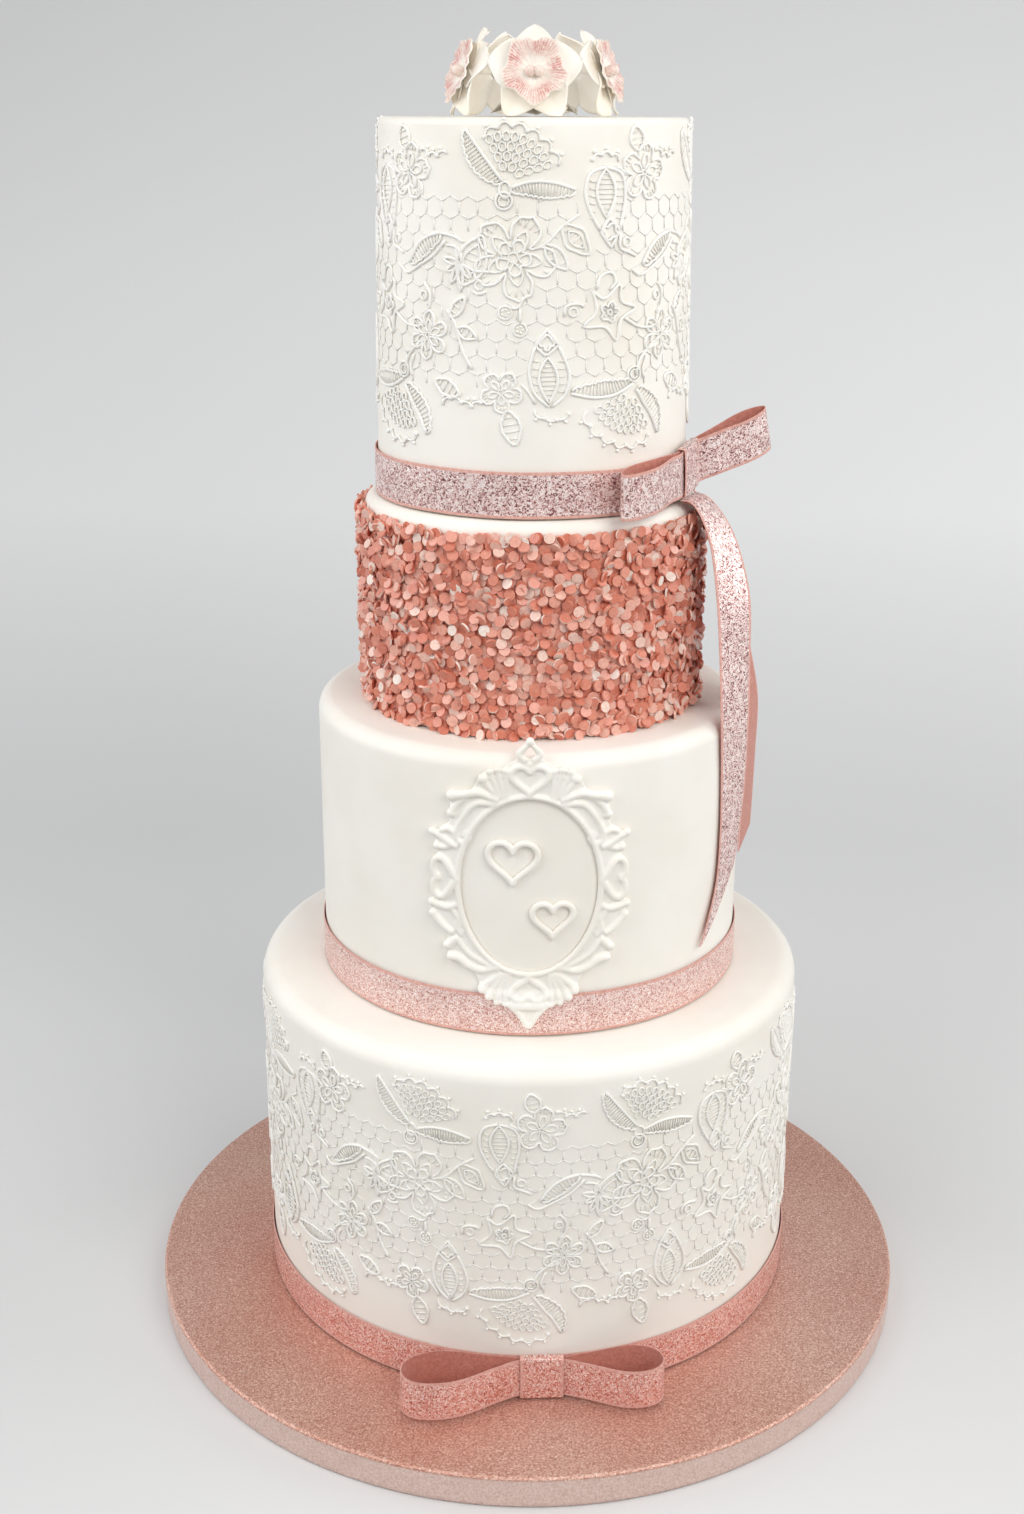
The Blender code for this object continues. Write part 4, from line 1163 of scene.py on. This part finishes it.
class Pattern:
    """One repeat of the lace: raised lines and dots, in millimetres from the root of its upper fan."""

    def __init__(self):
        self.lines, self.dots, self.blobs = [], [], []

    def line(self, stops, width=0.95, closed=False, straight=False):
        """A smooth raised line."""
        run = np.asarray(stops, float) if straight else smooth_run(stops, 8, closed)
        self.lines.append((run, width, closed))

    def ring(self, x, y, rx, ry=None, turn=0.0, width=0.8):
        """A raised oval."""
        a = np.arange(16) * math.pi / 8
        ry = ry or rx
        c, s = math.cos(turn), math.sin(turn)
        u, v = rx * np.cos(a), ry * np.sin(a)
        self.line(np.stack([x + u * c - v * s, y + u * s + v * c], -1), width, True)
        self.blobs.append((x, y, rx + 0.8, ry + 0.8))

    def blob(self, x, y, rx, ry):
        """A place that the net leaves free."""
        self.blobs.append((x, y, rx, ry))

    def leaf(self, start, end, width, teeth=0, veins=0, inner=0.0):
        """A pointed leaf, with scalloped sides, a second outline inside or slanting veins."""
        start, end = np.array(start, float), np.array(end, float)
        ahead = end - start
        side = np.array([-ahead[1], ahead[0]]) / np.linalg.norm(ahead)
        t = np.linspace(0, 1, 17)[:, None]
        swell = width / 2 * np.sin(math.pi * t ** 0.9)
        frill = 0.45 * np.abs(np.sin(math.pi * t * teeth)) if teeth else 0.0
        left = start + ahead * t + side * (swell + frill * (swell > 0.3))
        right = start + ahead * t - side * (swell + frill * (swell > 0.3))
        self.line(np.concatenate([left, right[-2:0:-1]]), 0.95, True)
        if inner:
            self.line(np.concatenate([start + ahead * (0.5 + (t - 0.5) * inner) + side * swell * inner,
                                      (start + ahead * (0.5 + (t - 0.5) * inner) - side * swell * inner)[-2:0:-1]]),
                      0.7, True)
        for k in range(veins):
            at = (k + 1) / (veins + 1)
            w = width / 2 * math.sin(math.pi * at ** 0.9) * (0.86 if not inner else inner * 0.9)
            middle = start + ahead * at
            self.line([middle - side * w, middle + side * w], 0.42)
        centre = (start + end) / 2
        reach = np.abs(ahead) / 2 + np.abs(side) * width / 2
        self.blob(*centre, *(reach + 0.6))

    def flower(self, x, y, radius, petals, turn=0.0, inner=True, centre=0.9, ribs=3, notch=0.5):
        """A flower outline with loops inside its petals."""
        a = np.linspace(0, 2 * math.pi, petals * 10, endpoint=False)
        reach = radius * (1 - notch + notch * np.abs(np.cos(petals * a / 2)) ** 0.55)
        reach = reach * (1 + 0.04 * np.sin(4 * petals * a + 1))
        self.line(np.stack([x + reach * np.sin(a + turn), y + reach * np.cos(a + turn)], -1), 0.95, True)
        for k in range(petals):
            b = 2 * math.pi * k / petals + turn
            tip = np.array([math.sin(b), math.cos(b)])
            out = np.array([tip[1], -tip[0]])
            foot = np.array([x, y]) + tip * centre
            if inner:
                end = np.array([x, y]) + tip * radius * 0.66
                middle = (foot + end) / 2
                w = radius * 0.15
                self.line([foot, middle + out * w, end, middle - out * w], 0.75, True)
            for r in range(ribs):
                shift = (r - (ribs - 1) / 2) * radius * 0.13
                low = np.array([x, y]) + tip * radius * (0.74 if inner else 0.4) + out * shift
                high = np.array([x, y]) + tip * radius * (0.92 - abs(shift) / radius * 0.3) + out * shift * 1.25
                self.line([low, high], 0.42)
        if centre:
            self.ring(x, y, centre, width=0.7)
        self.blob(x, y, radius * 0.92, radius * 0.92)

    def comb(self, stops, depth, teeth):
        """A curved arm with a toothed edge on one side, joined by fine ribs."""
        spine = even_run(smooth_run(stops, 12), 1, count=teeth * 4)
        ahead = tangents(spine)
        side = np.stack([-ahead[:, 1], ahead[:, 0]], -1)
        t = np.linspace(0, 1, len(spine))
        body = depth * (0.15 + 0.85 * np.sin(math.pi * np.clip(t * 1.02, 0, 1)) ** 0.7)
        tooth = 0.9 * np.abs(np.sin(math.pi * teeth * t)) ** 0.7
        edge = spine + side * (body + tooth * np.sign(depth))[:, None]
        self.line(spine[::4], 1.1)
        self.line(edge, 0.85, straight=True)
        for k in range(2, len(spine) - 2, 2):
            self.line([spine[k], edge[k] - side[k] * 0.3 * np.sign(depth)], 0.38)
        for k in range(0, len(spine), 8):
            self.blob(*((spine[k] + edge[k]) / 2), abs(depth) / 2 + 1.3, abs(depth) / 2 + 1.3)

    def beads(self, x, y, radii, start, end, size):
        """Rows of small ovals that fan out from a root."""
        for radius in radii:
            count = max(2, int(round((end - start) * radius / (2.15 * size))))
            for k in range(count):
                a = start + (end - start) * (k + 0.5) / count
                self.ring(x + radius * math.cos(a), y + radius * math.sin(a), size * 1.18, size * 0.88, a, 0.62)
        mid = (start + end) / 2
        far = radii[-1]
        self.blob(x + far * 0.6 * math.cos(mid), y + far * 0.6 * math.sin(mid), far * 0.6, far * 0.6)

    def scallops(self, stops, count, height):
        """A run of little arches with a dot on each joint."""
        path = even_run(smooth_run(stops, 12), 1, count=count)
        for a, b in zip(path[:-1], path[1:]):
            ahead = b - a
            side = np.array([-ahead[1], ahead[0]]) / np.linalg.norm(ahead)
            self.line([a, a + ahead * 0.22 + side * height * 0.8, a + ahead * 0.5 + side * height,
                       a + ahead * 0.78 + side * height * 0.8, b], 0.8)
            self.dots.append((*(a + side * 0.5 * np.sign(height)), 0.75))
            self.dots.append((*(a + ahead * 0.5 + side * (height + 0.9 * np.sign(height))), 0.6))


def draw_pattern():
    """All motifs of one repeat."""
    p = Pattern()
    p.comb([(-0.6, 1.2), (-4.0, 5.5), (-8.0, 10.6), (-12.6, 16.6)], 4.6, 9)
    p.comb([(21.6, -1.0), (15.0, 1.0), (8.0, 1.4), (1.4, -0.6)], 4.4, 10)
    p.beads(0.2, 1.0, (5.0, 7.8, 10.7, 13.7), 0.30, 2.05, 1.25)
    p.scallops([(-6.2, 14.0), (-1.0, 17.2), (6.0, 16.0), (11.8, 12.2), (15.8, 6.0)], 6, 1.9)
    p.line([(0.4, -3.8), (1.9, -1.2), (0.4, 1.4), (-1.6, 0.4), (-1.6, -2.4), (0.4, -3.8)])
    p.ring(-0.4, -4.4, 2.6)
    p.ring(-0.4, -4.4, 1.6, width=0.6)
    # Tulip with its diamond foot and a scalloped cap.
    p.line([(31, 5.6), (25.8, 3.4), (24.6, -3.0), (27.0, -9.2), (29.6, -13.2)], 1.05)
    p.line([(31, 5.6), (36.8, 3.6), (38.2, -2.6), (37.2, -9.0), (36.4, -13.2)], 1.05)
    p.leaf((31.2, 5.0), (31.6, -9.6), 6.4, veins=9)
    for k in range(6):
        p.line([(26.0, 1.5 - 2.2 * k), (27.9, 1.1 - 2.2 * k)], 0.42)
        p.line([(35.2, 1.3 - 2.2 * k), (37.4, 1.5 - 2.2 * k)], 0.42)
    p.line([(32.6, -9.6), (36.4, -13.2), (33.2, -18.6), (29.6, -13.6), (32.6, -9.6)], 1.0, straight=True)
    p.flower(33.0, -13.8, 2.7, 4, 0.4, inner=False, centre=0.0, ribs=0)
    p.scallops([(27.0, 7.4), (31.4, 9.2), (35.6, 7.2)], 3, 1.4)
    p.blob(31.4, -5.0, 7.2, 12.0)
    # Flowers.
    p.flower(45.6, 3.8, 8.6, 5, 0.15)
    p.leaf((43.6, 10.4), (41.6, 17.6), 5.2, teeth=5, veins=3)
    p.scallops([(50.8, 10.2), (55.6, 8.0), (61.0, 9.4)], 3, 1.3)
    p.line([(38.2, 3.0), (36.6, 5.0), (34.6, 5.4)])
    p.flower(2.6, -21.4, 13.2, 5, 0.45, centre=1.6, ribs=4, notch=0.62)
    p.flower(2.6, -21.4, 5.6, 5, 0.45, inner=False, centre=0.0, ribs=0)
    p.leaf((12.0, -17.2), (19.4, -25.2), 4.8, veins=3)
    p.leaf((17.6, -11.6), (26.0, -20.4), 6.4, teeth=8, inner=0.58, veins=5)
    p.line([(9.0, -18.8), (13.0, -16.6), (17.4, -12.0), (22.6, -8.4)])
    for angle, reach in ((2.9, 6.4), (1.75, 5.2), (3.6, 5.4), (4.25, 6.8), (4.75, 8.4), (5.4, 6.0)):
        tip = (-14.4 + reach * math.cos(angle), -23.6 + reach * math.sin(angle))
        p.leaf((-14.4, -23.6), tip, 1.9)
    p.line([(-13.8, -23.6), (-9.4, -25.6), (-4.4, -25.8)], 1.05)
    # Rings, curls and berries.
    for x, y in ((-8.0, -30.0), (39.0, -17.0), (21.0, -38.0), (52.0, -34.0)):
        p.ring(x, y, 1.4)
    p.line([(-10.0, -31.8), (-8.0, -32.8), (-5.6, -31.6)])
    p.line([(36.6, -14.6), (36.4, -18.6), (39.4, -20.0), (42.4, -21.4)])
    p.line([(18.4, -39.2), (18.6, -36.2), (22.4, -35.4), (24.4, -36.4)])
    p.line([(52.4, -30.0), (54.6, -33.0), (54.2, -37.4), (52.0, -39.6)])
    for x, y in ((0.2, -38.2), (4.8, -43.4)):
        p.ring(x, y, 2.1, width=0.7)
        for k in range(5):
            p.dots.append((x + 1.0 * math.cos(1.257 * k), y + 1.0 * math.sin(1.257 * k), 0.42))
    p.line([(1.8, -36.6), (4.4, -36.6), (5.6, -33.4)])
    p.line([(4.8, -41.2), (4.8, -36.8)])
    # Star flower, trumpet and its stem.
    star = [(27.2, -31.6), (31.2, -34.2), (36.6, -29.8), (37.2, -35.2), (42.6, -37.4), (37.0, -41.0),
            (35.6, -47.4), (31.4, -43.0), (24.2, -42.6), (28.4, -38.2)]
    p.line(star + star[:1], 1.0)
    p.flower(33.0, -38.4, 3.3, 5, 0.3, inner=False, ribs=2)
    p.blob(33.0, -38.4, 8.4, 8.4)
    p.line([(28.6, -31.2), (29.6, -27.4), (33.4, -26.0), (35.0, -29.0), (33.0, -31.4)])
    p.line([(38.4, -40.4), (44.0, -43.4), (50.6, -44.0)])
    p.flower(53.8, -46.4, 7.6, 6, 0.1, centre=1.0, ribs=1, notch=0.66)
    p.line([(50.2, -49.0), (45.0, -53.6), (43.2, -58.6)])
    p.line([(47.6, -53.0), (46.0, -57.0), (46.6, -60.0)])
    # Oak leaf and paisley on the right.
    p.comb([(58.8, -14.4), (54.0, -15.6), (49.6, -18.4), (45.4, -24.2)], 4.2, 6)
    p.line([(60.6, -16.6), (56.0, -21.4), (50.4, -24.6), (44.6, -27.4), (41.2, -25.4)])
    p.line([(58.8, -14.4), (64.0, -15.4), (66.8, -17.0)], 1.05)
    p.leaf((66.4, -30.2), (73.2, -14.8), 9.0, teeth=7, inner=0.62, veins=7)
    p.line([(60.8, -18.0), (64.4, -18.6), (66.2, -22.4)])
    # Bud on the lower left, stems and small leaves.
    p.line([(13.0, -43.2), (9.4, -48.4), (12.8, -51.6), (16.6, -48.0), (13.0, -43.2)], 1.0, straight=True)
    p.flower(13.0, -47.4, 2.5, 4, 0.0, inner=False, centre=0.0, ribs=0)
    p.line([(9.4, -48.6), (7.6, -56.0), (9.2, -63.0), (13.6, -67.4)], 1.05)
    p.line([(16.6, -48.2), (20.0, -57.0), (18.8, -63.4), (14.6, -67.4)], 1.05)
    p.leaf((13.2, -52.0), (13.8, -66.4), 5.8, veins=9)
    p.blob(13.6, -56.0, 7.0, 12.4)
    for k in range(5):
        p.line([(8.9, -53.0 - 2.4 * k), (10.4, -53.2 - 2.4 * k)], 0.42)
        p.line([(16.6, -53.2 - 2.4 * k), (18.5, -53.0 - 2.4 * k)], 0.42)
    p.scallops([(19.6, -69.4), (14.6, -71.4), (9.4, -68.6)], 3, 1.3)
    p.line([(61.4, -38.0), (64.4, -42.6), (66.8, -50.4), (70.0, -56.0)])
    p.leaf((62.4, -40.4), (67.6, -33.6), 3.6, veins=3)
    p.leaf((64.8, -43.6), (71.6, -46.4), 3.8, veins=3)
    p.leaf((57.0, -60.4), (66.0, -64.8), 4.4, teeth=5, veins=4)
    # Lower fan.
    p.comb([(42.0, -61.4), (35.4, -64.4), (28.0, -65.0), (20.6, -63.4)], -4.6, 9)
    p.comb([(43.4, -63.2), (46.6, -68.0), (50.2, -72.6), (53.2, -78.4)], 4.4, 7)
    p.beads(41.6, -62.6, (5.0, 7.8, 10.7, 13.6), -2.75, -1.05, 1.25)
    p.scallops([(48.4, -78.4), (41.6, -81.0), (34.0, -78.8), (28.0, -74.8), (25.4, -69.4)], 6, 1.9)
    p.ring(42.4, -58.4, 2.5)
    p.ring(42.4, -58.4, 1.5, width=0.6)
    p.flower(-1.0, -63.0, 6.6, 5, 0.55)
    p.leaf((1.0, -68.8), (3.6, -80.0), 5.4, teeth=5, veins=4)
    p.scallops([(-7.0, -67.0), (-11.6, -68.4), (-16.8, -66.0), (-20.4, -68.2)], 4, -1.3)
    p.line([(5.4, -60.4), (7.6, -63.0), (9.6, -66.4)])
    return p


def net_edges(pitch, repeat, low, high, blobs):
    """The sides of a honeycomb net that lie between the motifs of one repeat."""
    edges = []
    half, corner = pitch / 2, pitch / math.sqrt(3)
    centres = np.array([(x + shift, y) for x, y, _, _ in blobs for shift in (-repeat, 0, repeat)])
    sizes = np.array([(rx, ry) for _, _, rx, ry in blobs for _ in range(3)])
    rows = int((high - low) / (1.5 * corner)) + 1
    for r in range(rows):
        for c in range(int(round(repeat / pitch))):
            x = c * pitch + half * (r % 2) - repeat * 0.3
            y = low + 1.5 * corner * r
            corners = [(x + corner * math.sin(a), y + corner * math.cos(a))
                       for a in (math.pi / 3, 0.0, -math.pi / 3, -2 * math.pi / 3)]
            for a, b in zip(corners[:-1], corners[1:]):
                middle = (np.array(a) + b) / 2
                inside = (((middle - centres) / sizes) ** 2).sum(1) < 1.0
                if not inside.any():
                    edges.append((a, b))
    return edges


# Node, arc length and height of the first fan, repeats round the tier and name of each lace.
LACES = [("lace_bottom", (-41.0, 116.0), 8, "bottom_lace"), ("lace_top", (-9.0, 423.0), 4, "top_lace")]
LACE_REPEAT = 80.2
NET_COLUMNS, NET_LOW, NET_HIGH = 13, -60.0, -3.0
# Half sections of a raised line and of a net line: (share of the width or offset, lift).
LINE_SECTION = ((-0.58, -0.12), (-0.38, 0.66), (0.0, 1.0), (0.38, 0.66), (0.58, -0.12))
NET_SECTION = ((-0.27, -0.1), (-0.12, 0.17), (0.12, 0.17), (0.27, -0.1))


def lay_lace(node, root, repeats, material, name):
    """Wraps the repeats of the lace round a tier; root is (arc length, height) of the first fan, in mm."""
    tier = node.replace("lace", "tier")
    radius, foot, top = tier_size(tier)
    taper, edge, _ = TIERS[tier]
    radius, foot, top, taper, edge = (value / MM for value in (radius, foot, top, taper, edge))
    pattern = draw_pattern()
    repeat = 2 * math.pi * (radius - taper / 2) / repeats
    stretch = repeat / LACE_REPEAT
    rng = np.random.default_rng(SEED + repeats)

    def wall(height):
        return radius - taper * (height - foot) / (top - edge - foot)

    def lay(points, lift, shift):
        arc = (points[:, 0] * stretch + root[0] + shift) / (radius - taper / 2)
        height = root[1] + points[:, 1]
        return on_axis(arc, (wall(height) + lift) * MM, height * MM)

    motifs, net = Pile(), Pile()
    for k in range(repeats):
        shift = k * repeat
        for run, width, closed in pattern.lines:
            run = even_run(run, 1.45 if width > 0.9 else 1.2, closed, count=1 if width < 0.5 else None)
            ahead = tangents(run, closed)
            side = np.stack([-ahead[:, 1], ahead[:, 0]], -1)
            tall = 0.28 + 0.42 * min(width, 1.0) + rng.uniform(-0.04, 0.04)
            wide = width * (1 + 0.06 * np.sin(np.arange(len(run)) * 1.7 + rng.uniform(0, 6)))[:, None]
            rows = [lay(run + side * share * wide, tall * lift, shift) for share, lift in LINE_SECTION]
            faces = grid_faces(len(run), 5, wrap_rows=closed).tolist()
            if not closed:
                faces += [[4, 3, 2, 1, 0], [5 * (len(run) - 1) + i for i in range(5)]]
            motifs.add(np.stack(rows, 1).reshape(-1, 3), faces)
        for x, y, size in pattern.dots:
            ring = np.arange(8) * math.pi / 4
            flat = np.stack([x + size * np.cos(ring), y + size * np.sin(ring)], -1)
            half = np.stack([x + 0.6 * size * np.cos(ring), y + 0.6 * size * np.sin(ring)], -1)
            rows = [lay(flat, -0.1, shift), lay(flat, 0.35, shift), lay(half, 0.35 + 0.6 * size, shift)]
            faces = grid_faces(3, 8).tolist() + [list(range(8))[::-1], list(range(16, 24))]
            motifs.add(np.concatenate(rows), faces)
        for a, b in net_edges(LACE_REPEAT / NET_COLUMNS, LACE_REPEAT, NET_LOW, NET_HIGH, pattern.blobs):
            run = np.array([a, b])
            ahead = unit(run[1] - run[0])
            side = np.array([-ahead[1], ahead[0]])
            rows = [lay(run + side * share, lift, shift) for share, lift in NET_SECTION]
            net.add(np.stack(rows, 1).reshape(-1, 3), [[0, 1, 5, 4], [1, 2, 6, 5], [2, 3, 7, 6], [3, 0, 4, 7],
                                                       [3, 2, 1, 0], [4, 5, 6, 7]])
    lines = face_outwards(motifs.build(name + "_motifs", [material]))
    place(lines, [node])
    mesh = face_outwards(net.build(name + "_net", [material]))
    place(mesh, [node])


# ---------------------------------------------------------------- everything

def main():
    """Builds the whole scene."""
    make_camera()
    make_stage()
    make_lights()
    materials = make_materials()
    for node in TIERS:
        make_tier(node, materials)
    make_drum(materials)
    for node, tier, glitter, phase in BANDS:
        make_band(node, tier, materials, glitter, phase)
    make_sequins(materials)
    make_bows(materials)
    make_tails(materials)
    make_frame(materials)
    make_orchids(materials)
    for node, root, repeats, name in LACES:
        lay_lace(node, root, repeats, materials["lace"], name)


main()
